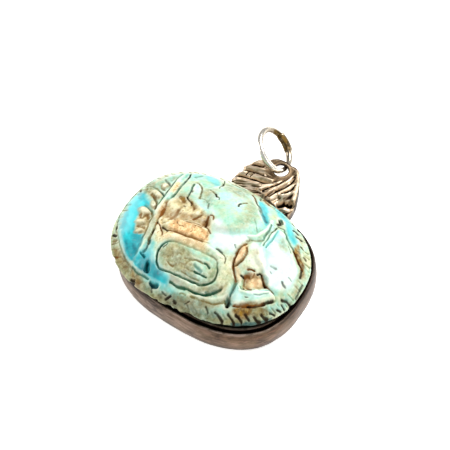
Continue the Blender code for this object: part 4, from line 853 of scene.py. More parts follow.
def stack_rings(rings):
    """Faces that join closed rings of points, each a list of point numbers."""
    faces = []
    for lower, upper in zip(rings[:-1], rings[1:]):
        count = len(lower)
        for index in range(count):
            after = (index + 1) % count
            faces.append((lower[index], lower[after], upper[after], upper[index]))
    return faces


def open_edges(faces, outer):
    """The edges that only one face uses, apart from those round the outside."""
    users = {}
    for face in faces:
        for start, end in zip(face, face[1:] + face[:1]):
            users.setdefault(frozenset((start, end)), []).append((start, end))
    return [ends[0] for ends in users.values() if len(ends) == 1 and not set(ends[0]) <= outer]


def blurred(values, reach):
    """Each point of a square grid averaged with its neighbours."""
    side = math.isqrt(len(values))
    grid = values.reshape(side, side)
    for axis in (0, 1):
        padding = [(reach, reach) if axis == 0 else (0, 0), (reach, reach) if axis == 1 else (0, 0)]
        padded = np.pad(grid, padding, mode="edge")
        grid = sum(np.take(padded, range(step, step + side), axis=axis) for step in range(2 * reach + 1))
        grid = grid / (2 * reach + 1)
    return grid.ravel()


def make_piece(name, points, faces, material, marks, smooth_angle):
    """A closed mesh object from points in millimetres, with its marks kept as attributes."""
    mesh = bpy.data.meshes.new(name)
    mesh.from_pydata((np.asarray(points) * MM).tolist(), [], faces)
    for mark, values in marks.items():
        attribute = mesh.attributes.new(mark, "FLOAT", "POINT")
        attribute.data.foreach_set("value", np.asarray(values, dtype=np.float32))
    fixer = bmesh.new()
    fixer.from_mesh(mesh)
    bmesh.ops.recalc_face_normals(fixer, faces=fixer.faces)
    fixer.to_mesh(mesh)
    fixer.free()
    mesh.materials.append(material)
    mesh.shade_smooth()
    mesh.set_sharp_from_angle(angle=math.radians(smooth_angle))
    piece = bpy.data.objects.new(name, mesh)
    bpy.context.scene.collection.objects.link(piece)
    return piece


# Making the stone

def strengthen(marks, mark, amount):
    """Raises a mark to an amount, where it is weaker than that."""
    marks[mark] = np.maximum(marks[mark], amount)


def settled(cover):
    """How well dirt that covers such a share of the glaze hides it."""
    return 1 - (1 - cover) ** DIRT_COVERS


def draw_cuts(x, y, cuts, marks):
    """Depth of a set of cuts. What has settled in each, and the stain round it, are added to the marks."""
    deepest = np.zeros(x.shape)
    filled = ease(0.55 + 0.6 * rough(x, y, CUT_BREAKS, SEEDS["filled cuts"]))
    for deposit, strength, width, depth, points in cuts:
        line = stroke(x, y, width, points)
        deepest = np.maximum(deepest, depth * line * (0.7 + 0.3 * filled))
        if deposit == "none":
            continue
        cover = strength * ease((line - 0.1 - 0.3 * (1 - filled)) / 0.5) * (0.7 + 0.3 * filled)
        halo = stroke(x, y, HALO_WIDTH * width, points)
        strengthen(marks, deposit, settled(cover))
        strengthen(marks, STAIN_ROUND_CUTS[deposit], HALO_STRENGTH * strength * halo)
    return deepest


def draw_name_ring(x, y, height, marks):
    """Cuts the oval ring's line, with its green deposit, and raises the border outside it."""
    away = outside_ring(x, y)
    line_width, line_depth = RING_LINE
    border_width, border_height = RING_BORDER
    fades_from, fades_over = RING_LINE_FADES
    line = np.exp(-(away / (line_width / 2)) ** 2) * (1 - 0.7 * ease((y - fades_from) / fades_over))
    filled = ease(0.6 + 0.7 * rough(x, y, CUT_BREAKS, SEEDS["filled ring line"]))
    strengthen(marks, "green", settled(RING_LINE_STAIN * ease((line - 0.1) / 0.6) * (0.3 + 0.7 * filled)))
    border_middle = 0.5 * (border_width + line_width)
    border = np.exp(-((away - border_middle) / (border_width / 2)) ** 2)
    return height - line_depth * line + border_height * border


def carve(x, y, marks):
    """Height of the carving over the dome."""
    height = np.zeros(x.shape)
    for depth, edge, outline in HOLLOWS:
        height -= depth * patch(x, y, edge, outline)
    for rise, edge, outline in MOUNDS:
        height += rise * patch(x, y, edge, outline)
    for middle, half_length, half_width, lean in PETALS:
        raised = petal(x, y, middle, half_length, half_width, lean)
        height += PETAL_HEIGHT * raised
        strengthen(marks, "cream", 0.8 * raised)
        strengthen(marks, "ochre", 1.8 * raised * (1 - raised))
    for rise, radius, middle in LUMPS:
        height += rise * np.exp(-((x - middle[0]) ** 2 + (y - middle[1]) ** 2) / radius ** 2)
    for width, rise, points in RIDGES:
        height += rise * stroke(x, y, width, points)
    height -= draw_cuts(x, y, CUTS, marks)
    return draw_name_ring(x, y, height, marks)


def notch_rim(x, y, band_share, marks):
    """Depth of the slanted cuts round the rim."""
    chance = np.random.default_rng(SEEDS["notches"])
    depth = np.zeros(x.shape)
    for count in range(RIM_NOTCHES):
        angle = 2 * math.pi * (count + chance.uniform(-0.25, 0.25)) / RIM_NOTCHES
        rim_x, rim_y = stone_outline(np.array([angle]), NOTCH_INSET)
        towards_end = math.copysign(NOTCH_ALONG, math.cos(angle))
        lean = np.array([NOTCH_RADIAL * math.cos(angle) + towards_end, NOTCH_RADIAL * math.sin(angle)])
        lean *= 0.5 * NOTCH_LENGTH * chance.uniform(0.7, 1.1) / np.linalg.norm(lean)
        middle = np.array([rim_x[0], rim_y[0]])
        cut = stroke(x, y, NOTCH_WIDTH, (middle - lean, middle + lean)) * chance.uniform(*NOTCH_CLARITY)
        depth = np.maximum(depth, cut)
    strengthen(marks, "olive", NOTCH_STAIN * depth * band_share)
    return np.maximum(NOTCH_DEPTH * depth * band_share, draw_cuts(x, y, RIM_CUTS, marks))


def engrave(x, y, on_band, marks):
    """Height of all the carving, drawn with the wobble of a hand."""
    wobbly_x = x + HAND_WOBBLE * rough(x, y, 0.9, SEEDS["wobble along"], layers=2)
    wobbly_y = y + HAND_WOBBLE * rough(x, y, 0.9, SEEDS["wobble across"], layers=2)
    relief = carve(wobbly_x, wobbly_y, marks) * (1 - ease(on_band / CARVING_STOPS))
    return relief - notch_rim(wobbly_x, wobbly_y, ease(on_band / NOTCHES_START), marks)


def stain(x, y, marks):
    """Adds the patches of colour to the marks, with ragged edges, and the streaks of pooled glaze."""
    ragged_x = x + PATCH_RAGGEDNESS * rough(x, y, 1.1, SEEDS["ragged along"])
    ragged_y = y + PATCH_RAGGEDNESS * rough(x, y, 1.1, SEEDS["ragged across"])
    for mark, strength, edge, outline in PATCHES:
        strengthen(marks, mark, strength * patch(ragged_x, ragged_y, edge, outline))
    streaks = ease(0.4 + 0.9 * rough(0.9 * (x + y), 0.35 * (y - x), 0.9, SEEDS["streaks"]))
    marks["deep"] *= 0.7 + 0.3 * streaks
    strengthen(marks, "deep", 0.45 * marks["turquoise"] * streaks)


def chips(x, y):
    """How much of the rim is missing near each point, in millimetres."""
    missing = np.zeros(x.shape)
    for size, half_length, middle in RIM_CHIPS:
        gap = np.hypot(x - middle[0], y - middle[1])
        missing = np.maximum(missing, size * (1 - ease((gap - 0.4 * half_length) / half_length)))
    return missing


def weather(x, y, on_band, relief, bare, gone):
    """The relief with its uneven surface, its pits and its chipped rim. Bare stone is rougher than glaze."""
    uneven = GLAZE_UNEVENNESS + (STONE_UNEVENNESS - GLAZE_UNEVENNESS) * bare
    pitted = ease((grain(x, y, PIT_SIZE, SEEDS["pits"]) - 0.45) / 0.3)
    relief = relief + uneven * rough(x, y, UNEVENNESS_SIZE, SEEDS["unevenness"], layers=5)
    relief -= PIT_DEPTH * pitted * (0.25 + 0.75 * bare)
    return relief - CHIP_DROP * (gone / DEEPEST_CHIP) * ease((on_band - 0.3) / 0.5)


def mark_wear(relief, gone, on_band, marks):
    """Marks what lies sunk or stands out, what is flecked, and where earth and other dirt lie. Sunk places
    are darkened as dirt and their fine crevices as painted shade; raised places are lightened as rubbed glaze
    and their fine edges as a painted highlight.
    """
    bare = marks["bare"]
    sunk = (blurred(relief, SUNK_REACH) - relief) / SUNK_DEPTH
    crevice_shade_and_highlight = (blurred(relief, CREVICE_SHADING_REACH) - relief) / CREVICE_SHADING_DEPTH
    # Fine crevices are darkened as painted shade, and fine edges lightened as a painted highlight, through
    # the sunk and worn marks
    sunk = np.where(np.abs(crevice_shade_and_highlight) > np.abs(sunk), 0.85 * crevice_shade_and_highlight, sunk)
    thick_glaze = np.clip(np.maximum(marks["turquoise"], marks["pale"]), 0, 1)
    marks["sunk"] = np.clip(sunk, 0, 1) * (1 - bare) * (1 - 0.8 * thick_glaze)
    marks["sunk_bare"] = np.clip(sunk, 0, 1) * bare
    marks["rim"] = ease(on_band / 0.35)
    # worn: rubbed glaze on raised places, with a painted highlight on fine edges
    marks["worn"] = np.clip(-sunk, 0, 1) * (1 - 0.8 * marks["turquoise"])
    marks["flecked"] = (1 - 0.9 * thick_glaze) * np.clip(0.35 + marks["rim"] + marks["olive"] + bare, 0, 1)
    strengthen(marks, "earth", 0.9 * ease((gone - 0.22) / 0.2) * ease((on_band - 0.5) / 0.3))
    marks["dirt"] = np.maximum.reduce([marks[mark] for mark in ("earth", "brown", "green", "pool")])


def add_neck(points, marks, edge, around):
    """Rings of points from the rim's edge in under it and down the neck, with their marks; the neck is
    darkened with painted shade under the rim.
    """
    full_x, full_y = stone_outline(around)
    neck_x, neck_y = neck_outline(STONE_LENGTH / 2 - NECK_INSET_ENDS,
                                  STONE_WIDTH / 2 - NECK_INSET_SIDES, around)
    edge_gone = chips(full_x, full_y)
    uneven = EDGE_UNEVENNESS * rough(full_x, full_y, 0.8, SEEDS["rim's edge"])
    rings = [edge]
    for level, blend, painted_shade in NECK_PROFILE:
        worn = (edge_gone + 0.6 * uneven) * blend
        ring_x = neck_x + (full_x + STONE_SHIFT - neck_x) * blend - worn * full_x / (STONE_LENGTH / 2)
        ring_y = neck_y + (full_y - neck_y) * blend - worn * full_y / (STONE_WIDTH / 2)
        first = len(points)
        points += [(px, py, level + lift) for px, py, lift in zip(ring_x, ring_y, uneven * blend)]
        rings.append(list(range(first, first + len(edge))))
        for mark in marks:
            marks[mark] = np.append(marks[mark], marks[mark][edge] * blend)
        # The neck under the rim is painted near black through the earth mark: painted shade
        marks["earth"][first:] = np.maximum(marks["earth"][first:], painted_shade)
    return rings


def make_stone():
    """The scarab: worn carving on a dome, with a notched rim and a neck that goes down into the bezel."""
    share, angle, faces, edge = disc_grid(STONE_RINGS)
    rim_x, rim_y = stone_outline(angle)
    x = share * rim_x
    y = share * rim_y
    band_start = 1 - BAND_WIDTH / (STONE_LENGTH / 2)
    on_band = np.clip((share - band_start) / (1 - band_start), 0, 1)
    on_dome = np.clip(share / band_start, 0, 1)
    rim_top = NECK_TOP + RIM_UNDERCUT + RIM_DEPTH
    base = rim_top + BAND_RISE * (1 - on_band) + DOME_RISE * (1 - on_dome ** 2)

    marks = {mark: np.zeros(x.shape) for mark in STAINS}
    relief = engrave(x, y, on_band, marks)
    stain(x, y, marks)
    uncovered = marks["cream"] + marks["peach"] + marks["brown"] + 0.7 * marks["ochre"] + 0.5 * marks["olive"]
    marks["bare"] = np.clip(uncovered, 0, 1)
    gone = chips(x, y)
    relief = weather(x, y, on_band, relief, marks["bare"], gone)
    mark_wear(relief, gone, on_band, marks)

    height = base + relief
    height -= max(0.0, height.max() - STONE_PEAK)
    pulled_in = 1 - gone * ease((on_band - 0.2) / 0.8) / np.maximum(np.hypot(x, y), 1)
    points = [(px + STONE_SHIFT, py, pz) for px, py, pz in zip(x * pulled_in, y * pulled_in, height)]
    rings = add_neck(points, marks, edge, angle[edge])
    faces += stack_rings(rings)
    faces.append(tuple(rings[-1]))
    return make_piece("scarab_stone", points, faces, glazed_stone(), marks, smooth_angle=70)


# Making the metal pieces

def make_bezel():
    """The silver cup: a floor, an inner lip, a black groove and a bulging outer wall, hammered and dented."""
    around = 2 * math.pi * np.arange(BEZEL_SIDES) / BEZEL_SIDES
    points = []
    rings = []
    marks = {"tarnish": [], "rubbed": []}
    for outwards, level, tarnish, rubbed in BEZEL_PROFILE:
        on_wall = outwards > WALL_STARTS
        ring_x, ring_y = neck_outline(SEAT_HALF_LENGTH + outwards, SEAT_HALF_WIDTH + outwards, around)
        dent = rough(ring_x + 0.7 * level, ring_y - 0.7 * level, DENT_SIZE, SEEDS["dents"], layers=3)
        dented = 1.0 if on_wall and level > 0 else DENTS_INSIDE
        inwards = 1 - dented * DENT_DEPTH * (1 + dent) / SEAT_HALF_WIDTH
        rings.append(list(range(len(points), len(points) + BEZEL_SIDES)))
        points += [(px, py, level) for px, py in zip(ring_x * inwards, ring_y * inwards)]
        # The lips on the shadowed sides get painted shadow, carried in the tarnish mark
        blackened = np.zeros(BEZEL_SIDES)
        for side, down_to in SHADOWED_LIPS:
            if level > down_to:
                blackened = np.maximum(blackened, LIP_SHADOW_DARKNESS * ease(1.6 * np.cos(around - side) - 0.3))
        marks["tarnish"] += list(np.maximum(tarnish, blackened))
        # One side of the wall is lightened as a painted highlight
        painted_side_highlight = SIDE_HIGHLIGHT_STRENGTH * ease(1.5 * np.cos(around - SIDE_HIGHLIGHT_AT)) * on_wall
        marks["rubbed"] += list(np.maximum(rubbed, painted_side_highlight * (1 - tarnish)))
    faces = stack_rings(rings)
    faces.append(tuple(rings[0]))
    faces.append(tuple(reversed(rings[-1])))
    return make_piece("silver_bezel", points, faces, antiqued_silver(), marks, smooth_angle=35)


def bail_place(x, y):
    """Points of the bail's sheet in the part: its near edge follows the bezel's side, which curves back."""
    share = np.clip(np.abs(x) / BEZEL_HALF_LENGTH, 0, 1)
    falls_back = BEZEL_HALF_WIDTH * (1 - (1 - share ** NECK_ROUNDNESS) ** (1 / NECK_ROUNDNESS))
    follow = 1 - ease(np.asarray(y) / BAIL_FOLLOWS)
    return x, BEZEL_HALF_WIDTH + BAIL_CLEARANCE + y - falls_back * follow


def bail_reach(angle):
    """How far the bail's outline is from its middle in each direction."""
    outline = smooth_path(BAIL_OUTLINE, closed=True, steps=24)[:-1]
    from_middle = outline - np.array(BAIL_MIDDLE)
    bearing = np.arctan2(from_middle[:, 1], from_middle[:, 0]) % (2 * math.pi)
    order = np.argsort(bearing)
    return np.interp(angle, bearing[order], np.hypot(*from_middle.T)[order], period=2 * math.pi)


def cast_relief(x, y):
    """Height of the leaves: their blades, the gaps between them and the fine lines along them."""
    relief = np.zeros(x.shape)
    for width, rise, points in BAIL_RIDGES:
        relief += rise * stroke(x, y, width, points)
    for width, depth, points in BAIL_GROOVES:
        relief -= depth * stroke(x, y, width, points)
    relief += CAST_UNEVENNESS * rough(x, y, 0.9, SEEDS["casting"], layers=4)
    across_left = (y - LEFT_LEAF_SLANT * x) / STRIATION_WIDTH
    across_right = (x - RIGHT_LEAF_SLANT * y) / STRIATION_WIDTH
    left_lines = grain(across_left, x / STRIATION_LENGTH, 1, SEEDS["left leaf"])
    right_lines = grain(across_right, y / STRIATION_LENGTH, 1, SEEDS["right leaf"])
    on_left = x < LEFT_LEAF_ENDS + LEFT_LEAF_SLANT * y
    return relief + STRIATION_DEPTH * np.where(on_left, left_lines, right_lines)


def make_bail():
    """The cast bail: two veined leaves beside a pierced eyelet, one piece with a plain back."""
    share, angle, faces, edge = disc_grid(BAIL_RINGS)
    reach = bail_reach(angle)
    x = BAIL_MIDDLE[0] + share * reach * np.cos(angle)
    y = BAIL_MIDDLE[1] + share * reach * np.sin(angle)

    # The points inside the hole are drawn out to its edge, and the faces between them are left out
    from_eyelet = np.hypot(x - EYELET_MIDDLE[0], y - EYELET_MIDDLE[1])
    in_hole = from_eyelet < EYELET_HOLE
    open_faces = [face for face in faces if not all(in_hole[corner] for corner in face)]
    drawn_out = np.where(in_hole, EYELET_HOLE / np.maximum(from_eyelet, 1e-6), 1)
    x = EYELET_MIDDLE[0] + (x - EYELET_MIDDLE[0]) * drawn_out
    y = EYELET_MIDDLE[1] + (y - EYELET_MIDDLE[1]) * drawn_out
    from_eyelet = np.maximum(from_eyelet, EYELET_HOLE)

    collar = EYELET_HOLE + EYELET_MARGIN
    near_eyelet = 1 - ease((from_eyelet - collar) / EYELET_FADE)
    underside_lift = 1 - ease((from_eyelet - collar - UNDERSIDE_RELIEF) / UNDERSIDE_FADE)
    rounding = BAIL_EDGE_DROP * ease((share - BAIL_EDGE_STARTS) / (1 - BAIL_EDGE_STARTS))
    hole_lip = HOLE_LIP_RISE * np.exp(-((from_eyelet - EYELET_HOLE - HOLE_LIP_WIDTH) / HOLE_LIP_WIDTH) ** 2)
    plate_grain = 0.3 * CAST_UNEVENNESS * rough(x, y, 0.5, SEEDS["eyelet's plate"])
    plate_top = EYELET_TOP + hole_lip - 0.5 * rounding + plate_grain
    top = (BAIL_TOP + cast_relief(x, y) - rounding) * (1 - near_eyelet) + plate_top * near_eyelet
    bottom = BAIL_UNDERSIDE + (EYELET_TOP - EYELET_THICKNESS - BAIL_UNDERSIDE) * underside_lift
    top = np.clip(top, bottom + BAIL_LEAST_THICKNESS, BAIL_PEAK)

    sunk = np.clip(0.5 + (blurred(top, 3) - top) / 0.35, 0, 1)
    sunk = sunk * (1 - near_eyelet) + (PLATE_TARNISH - 0.5 + sunk) * near_eyelet
    place_x, place_y = bail_place(x, y)
    count = len(x)
    points = list(zip(place_x, place_y, top)) + list(zip(place_x, place_y, bottom))
    underneath = [tuple(count + corner for corner in reversed(face)) for face in open_faces]
    walls = stack_rings([[count + corner for corner in edge], edge])
    walls += [(a, b, count + b, count + a) for a, b in open_edges(open_faces, set(edge))]
    marks = {"sunk": np.append(sunk, np.full(count, UNDERSIDE_TARNISH))}
    faces = open_faces + underneath + walls
    return make_piece("silver_bail", points, faces, cast_silver(), marks, smooth_angle=55)


def wire_tarnish(turn, roll, on_sleeve, pinch):
    """How dull the wire is: most on the side that faces the loop's middle, where the darkening is tarnish and
    painted shade, and in the sleeve's seam.
    """
    inner = float(ease(0.6 - math.cos(roll)))
    dull = 0.5 - 0.5 * math.cos(turn - BRIGHT_AT)
    on_wire = dull * (0.22 + INNER_TARNISH_AND_SHADE * inner)
    return max(on_wire, on_sleeve * max(0.3 + SLEEVE_TARNISH * inner, pinch / SEAM_DEPTH))


def make_ring():
    """The jump ring: a loop of drawn wire through the eyelet, its two ends lapped in a pinched sleeve."""
    normal = Vector(RING_PLANE_NORMAL).normalized()
    outwards = Vector(RING_CENTRE_DIRECTION)
    outwards = (outwards - normal * outwards.dot(normal)).normalized()
    sideways = normal.cross(outwards)
    eyelet_x, eyelet_y = bail_place(*EYELET_MIDDLE)
    eyelet = Vector((eyelet_x, eyelet_y, EYELET_TOP - EYELET_THICKNESS / 2))
    centre = eyelet + outwards * RING_RADIUS
    points = []
    rings = []
    marks = {"tarnish": []}
    for station in range(RING_STATIONS):
        turn = 2 * math.pi * station / RING_STATIONS
        from_sleeve = abs(turn - SLEEVE_AT) - SLEEVE_SWEEP / 2
        on_sleeve = 1 - float(ease(from_sleeve / SLEEVE_STEP + 0.5))
        spoke = -outwards * math.cos(turn) + sideways * math.sin(turn)
        rings.append(list(range(len(points), len(points) + WIRE_SIDES)))
        for side in range(WIRE_SIDES):
            roll = 2 * math.pi * side / WIRE_SIDES
            pinch = SEAM_DEPTH * math.exp(-((math.cos(roll) - SEAM_AT) / SEAM_WIDTH) ** 2)
            wire = RING_WIRE / 2 + on_sleeve * ((SLEEVE_WIRE - RING_WIRE) / 2 - pinch)
            outer = spoke * (RING_RADIUS + wire * math.cos(roll))
            points.append(centre + outer + normal * wire * math.sin(roll))
            marks["tarnish"].append(wire_tarnish(turn, roll, on_sleeve, pinch))
    faces = stack_rings(rings + [rings[0]])
    return make_piece("wire_ring", points, faces, silver_wire(), marks, smooth_angle=60)


# Materials

def colour(code):
    """A linear colour from an sRGB hex value such as #A0B0C0."""
    shares = [int(code[start:start + 2], 16) / 255 for start in (1, 3, 5)]
    return (*[s / 12.92 if s <= 0.04045 else ((s + 0.055) / 1.055) ** 2.4 for s in shares], 1)


def per_size(size):
    """The scale of a pattern whose repeat is that many millimetres."""
    return 1 / (size * MM)


def add_node(tree, kind, settings=None, inputs=None):
    """A node with its settings. Each input is given a value, or the socket that feeds it."""
    node = tree.nodes.new(kind)
    for name, value in (settings or {}).items():
        setattr(node, name, value)
    for socket, value in (inputs or {}).items():
        if isinstance(value, bpy.types.NodeSocket):
            tree.links.new(value, node.inputs[socket])
        else:
            node.inputs[socket].default_value = value
    return node


def new_material(name):
    """A material with its node tree and its shader."""
    material = bpy.data.materials.new(name)
    material.use_nodes = True
    return material, material.node_tree, material.node_tree.nodes["Principled BSDF"]


def tint_where(tree, below, pattern, low, high, most, code):
    """A colour laid over another where a pattern's value rises from low to high, at most so strongly."""
    share = add_node(tree, "ShaderNodeMapRange", None, {
        "Value": pattern, "From Min": low, "From Max": high, "To Max": most})
    mixed = add_node(tree, "ShaderNodeMix", {"data_type": "RGBA"}, {
        0: share.outputs["Result"], 6: below, 7: colour(code)})
    return mixed.outputs[2]


def paint_over(tree, below, mark, code, strength, mottling, patchiness):
    """A colour laid over another where the mesh carries that mark, broken up by mottling."""
    carried = add_node(tree, "ShaderNodeAttribute", {"attribute_name": mark})
    broken = add_node(tree, "ShaderNodeMapRange", None, {
        "Value": mottling, "From Min": 0.4, "From Max": 0.6,
        "To Min": strength * (1 - patchiness), "To Max": strength})
    factor = add_node(tree, "ShaderNodeMath", {"operation": "MULTIPLY", "use_clamp": True}, {
        0: carried.outputs["Fac"], 1: broken.outputs["Result"]})
    mixed = add_node(tree, "ShaderNodeMix", {"data_type": "RGBA"}, {
        0: factor.outputs[0], 6: below, 7: colour(code)})
    return mixed.outputs[2]


def follow_mark(tree, mark, unmarked, marked):
    """A value that goes from one number to another where the mesh carries that mark."""
    carried = add_node(tree, "ShaderNodeAttribute", {"attribute_name": mark})
    return add_node(tree, "ShaderNodeMapRange", None, {
        "Value": carried.outputs["Fac"], "To Min": unmarked, "To Max": marked}).outputs["Result"]


def glazed_stone():
    """Carved steatite under a worn turquoise glaze: the glaze is deep blue where it has pooled, thins to
    mint on the high parts and is gone from the brown fields, and dull earth fills the cuts. Painted shade
    darkens the fine crevices, the neck under the rim and parts of the lower slopes, and painted highlights
    lighten the fine edges and the brightest tops."""
    material, tree, shader = new_material("worn turquoise glaze on carved steatite")
    place = add_node(tree, "ShaderNodeTexCoord").outputs["Object"]
    patterns = {}
    for pattern, (size, detail) in GLAZE_PATTERNS.items():
        patterns[pattern] = add_node(tree, "ShaderNodeTexNoise", {"noise_dimensions": "4D"}, {
            "Vector": place, "W": float(len(patterns)), "Scale": per_size(size), "Detail": detail,
            "Roughness": 0.6}).outputs["Fac"]
    surface = tint_where(tree, colour("#7FBE9E"), patterns["clouds"], 0.4, 0.6, 1.0, "#9FE0D8")
    surface = tint_where(tree, surface, patterns["drifts"], 0.46, 0.66, 0.75, "#B8AE74")
    for mark, code, strength, pattern, patchiness in GLAZE_LAYERS:
        surface = paint_over(tree, surface, mark, code, strength, patterns[pattern], patchiness)
    surface = tint_where(tree, surface, patterns["specks"], 0.66, 0.76, 0.5, "#6E7A5C")
    fine = add_node(tree, "ShaderNodeBump", None, {
        "Strength": 0.5, "Distance": 0.02 * MM, "Height": patterns["specks"]})
    bump = add_node(tree, "ShaderNodeBump", None, {
        "Strength": 0.5, "Distance": 0.06 * MM, "Height": patterns["mottling"],
        "Normal": fine.outputs["Normal"]})
    tree.links.new(surface, shader.inputs["Base Color"])
    tree.links.new(bump.outputs["Normal"], shader.inputs["Normal"])
    tree.links.new(follow_mark(tree, "bare", 0.34, 0.6), shader.inputs["Roughness"])
    shader.inputs["Specular IOR Level"].default_value = 0.3
    tree.links.new(follow_mark(tree, "dirt", 0.3, 0.05), shader.inputs["Specular IOR Level"])
    shader.inputs["IOR"].default_value = 1.5
    return material


def scratched(tree, shader, place, size, strength):
    """Fine wear on a metal: a bump of soft dings and short scratches."""
    dings = add_node(tree, "ShaderNodeTexNoise", None, {
        "Vector": place, "Scale": per_size(size), "Detail": 5.0, "Roughness": 0.65})
    scratches = add_node(tree, "ShaderNodeTexNoise", None, {
        "Vector": place, "Scale": per_size(size / 3), "Detail": 2.0, "Distortion": 2.5})
    soft = add_node(tree, "ShaderNodeBump", None, {
        "Strength": strength, "Distance": 0.06 * MM, "Height": dings.outputs["Fac"]})
    fine = add_node(tree, "ShaderNodeBump", None, {
        "Strength": strength, "Distance": 0.015 * MM, "Height": scratches.outputs["Fac"],
        "Normal": soft.outputs["Normal"]})
    tree.links.new(fine.outputs["Normal"], shader.inputs["Normal"])
    return dings.outputs["Fac"]


def finish_metal(tree, shader, surface, roughness):
    """Gives a shader the surface of a bare metal."""
    tree.links.new(surface, shader.inputs["Base Color"])
    shader.inputs["Metallic"].default_value = 1.0
    shader.inputs["Roughness"].default_value = roughness


def antiqued_silver():
    """Silver sheet darkened with liver of sulphur and rubbed back along its wall: brown-grey with reddish
    streaks, a black groove and brighter rubbed edges, with a painted highlight along one side of the wall and
    painted shadow on two sides of the lips."""
    material, tree, shader = new_material("antiqued silver sheet")
    place = add_node(tree, "ShaderNodeTexCoord").outputs["Object"]
    scratched(tree, shader, place, 0.9, 0.6)
    clouds = add_node(tree, "ShaderNodeTexNoise", None, {
        "Vector": place, "Scale": per_size(2.6), "Detail": 4.0, "Roughness": 0.6}).outputs["Fac"]
    along = add_node(tree, "ShaderNodeMapping", None, {
        "Vector": place, "Scale": (0.6, 0.6, 3.0)}).outputs["Vector"]
    streaks = add_node(tree, "ShaderNodeTexNoise", None, {
        "Vector": along, "Scale": per_size(1.1), "Detail": 5.0, "Roughness": 0.7,
        "Distortion": 0.6}).outputs["Fac"]
    surface = tint_where(tree, colour("#33271F"), clouds, 0.35, 0.65, 1.0, "#66533F")
    surface = tint_where(tree, surface, streaks, 0.46, 0.64, 0.7, "#7A5A4A")
    # rubbed: bright rubbed edges, and a painted highlight along one side of the wall
    surface = paint_over(tree, surface, "rubbed", "#B3A296", 0.6, streaks, 0.8)
    # tarnish: patina in the groove and the hollows, and painted shadow on the lips under the stone's edge
    surface = paint_over(tree, surface, "tarnish", "#120B07", 1.0, clouds, 0.1)
    finish_metal(tree, shader, surface, 0.42)
    return material


def cast_silver():
    """Cast silver with the casting's grain, blackened in its hollows and rubbed bright on its ridges, with
    a warm brown cast between them."""
    material, tree, shader = new_material("cast silver, blackened and rubbed")
    place = add_node(tree, "ShaderNodeTexCoord").outputs["Object"]
    wear = scratched(tree, shader, place, 0.5, 0.45)
    clouds = add_node(tree, "ShaderNodeTexNoise", None, {
        "Vector": place, "Scale": per_size(1.0), "Detail": 5.0, "Roughness": 0.7}).outputs["Fac"]
    sunk = add_node(tree, "ShaderNodeAttribute", {"attribute_name": "sunk"}).outputs["Fac"]
    surface = tint_where(tree, colour("#D2BA9C"), wear, 0.35, 0.65, 1.0, "#FFF0DA")
    surface = tint_where(tree, surface, clouds, 0.42, 0.62, 0.8, "#86704C")
    for low, high, code in ((0.48, 0.6, "#7E6A50"), (0.57, 0.72, "#3A2A20"), (0.7, 0.86, "#140D09")):
        surface = tint_where(tree, surface, sunk, low, high, 1.0, code)
    finish_metal(tree, shader, surface, 0.42)
    return material


def silver_wire():
    """Drawn silver wire, bright from handling, tarnished brown where its ends lap, and darkened inside the
    loop by tarnish and painted shade.
    """
    material, tree, shader = new_material("drawn silver wire")
    place = add_node(tree, "ShaderNodeTexCoord").outputs["Object"]
    wear = scratched(tree, shader, place, 0.6, 0.2)
    surface = tint_where(tree, colour("#D9D0BE"), wear, 0.3, 0.7, 1.0, "#F6F2E8")
    # tarnish: real tarnish on the sleeve, and tarnish with painted shade inside the loop
    surface = paint_over(tree, surface, "tarnish", "#57431F", 1.0, wear, 0.2)
    finish_metal(tree, shader, surface, 0.2)
    return material


def matt_paper():
    """The white paper sweep that the pendant was photographed on, lit a little from below, so that hardly
    any shadow shows on it."""
    material, _, shader = new_material("matt white paper on a light table")
    shader.inputs["Base Color"].default_value = colour("#FAF9F7")
    shader.inputs["Roughness"].default_value = 0.8
    shader.inputs["Emission Color"].default_value = colour("#FFFDF8")
    shader.inputs["Emission Strength"].default_value = 0.6
    return material


# Setting the stage

def make_floor():
    """A wide sheet of paper under the pendant."""
    half = FLOOR_HALF_WIDTH * MM
    level = FLOOR_LEVEL * MM
    mesh = bpy.data.meshes.new("paper")
    mesh.from_pydata([(-half, -half, level), (half, -half, level), (half, half, level), (-half, half, level)],
                     [], [(0, 1, 2, 3)])
    mesh.materials.append(matt_paper())
    floor = bpy.data.objects.new("paper", mesh)
    bpy.context.scene.collection.objects.link(floor)
    return floor


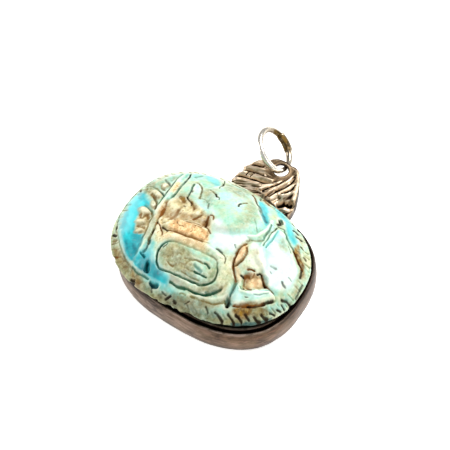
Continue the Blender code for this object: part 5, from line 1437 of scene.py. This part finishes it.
def add_softbox(name, place, width, depth, power, tint):
    """A soft light of that size and power at a place in millimetres, turned towards the pendant."""
    lamp = bpy.data.lights.new(name, "AREA")
    lamp.shape = "RECTANGLE"
    lamp.size = width * MM
    lamp.size_y = depth * MM
    lamp.energy = power
    lamp.color = tint
    softbox = bpy.data.objects.new(name, lamp)
    softbox.location = Vector(place) * MM
    softbox.rotation_mode = "QUATERNION"
    softbox.rotation_quaternion = (-Vector(place)).to_track_quat("-Z", "Y")
    bpy.context.scene.collection.objects.link(softbox)


def light_stage():
    """A large softbox behind and overhead, a weaker one at each side, and pale surroundings."""
    add_softbox("overhead_softbox", (90, 230, 340), 260, 260, 2.0, (1, 0.99, 0.97))
    add_softbox("left_softbox", (-300, -160, 160), 200, 200, 0.7, (1, 0.99, 0.98))
    add_softbox("right_softbox", (360, 60, 200), 200, 240, 0.4, (1, 0.99, 0.98))
    world = bpy.data.worlds.new("pale studio")
    bpy.context.scene.world = world
    world.use_nodes = True
    sky = world.node_tree.nodes["Background"]
    sky.inputs["Color"].default_value = colour("#F4F6FA")
    sky.inputs["Strength"].default_value = 0.6


def aim_camera():
    """The photograph's view: from above the head's corner, through a long lens."""
    azimuth = math.radians(CAMERA_AZIMUTH)
    elevation = math.radians(CAMERA_ELEVATION)
    back = Vector((math.sin(azimuth) * math.cos(elevation), -math.cos(azimuth) * math.cos(elevation),
                   math.sin(elevation)))
    lens = bpy.data.cameras.new("camera")
    lens.lens = CAMERA_LENS
    lens.sensor_width = 36
    lens.clip_start = 10 * MM
    lens.clip_end = 10000 * MM
    camera = bpy.data.objects.new("camera", lens)
    camera.location = (Vector(CAMERA_TARGET) + back * CAMERA_DISTANCE) * MM
    camera.rotation_mode = "QUATERNION"
    camera.rotation_quaternion = (-back).to_track_quat("-Z", "Y")
    bpy.context.scene.collection.objects.link(camera)
    bpy.context.scene.camera = camera


def main():
    """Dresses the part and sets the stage."""
    for piece, node, slot in ((make_stone(), "scarab", "glazed_stone"),
                              (make_bezel(), "bezel", "antiqued_silver"),
                              (make_bail(), "bail", "cast_silver"),
                              (make_ring(), "jump_ring", "silver_wire")):
        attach(piece, "root")
        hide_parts(node)
    make_floor()
    light_stage()
    aim_camera()
    bpy.context.scene.view_settings.view_transform = "Standard"


main()
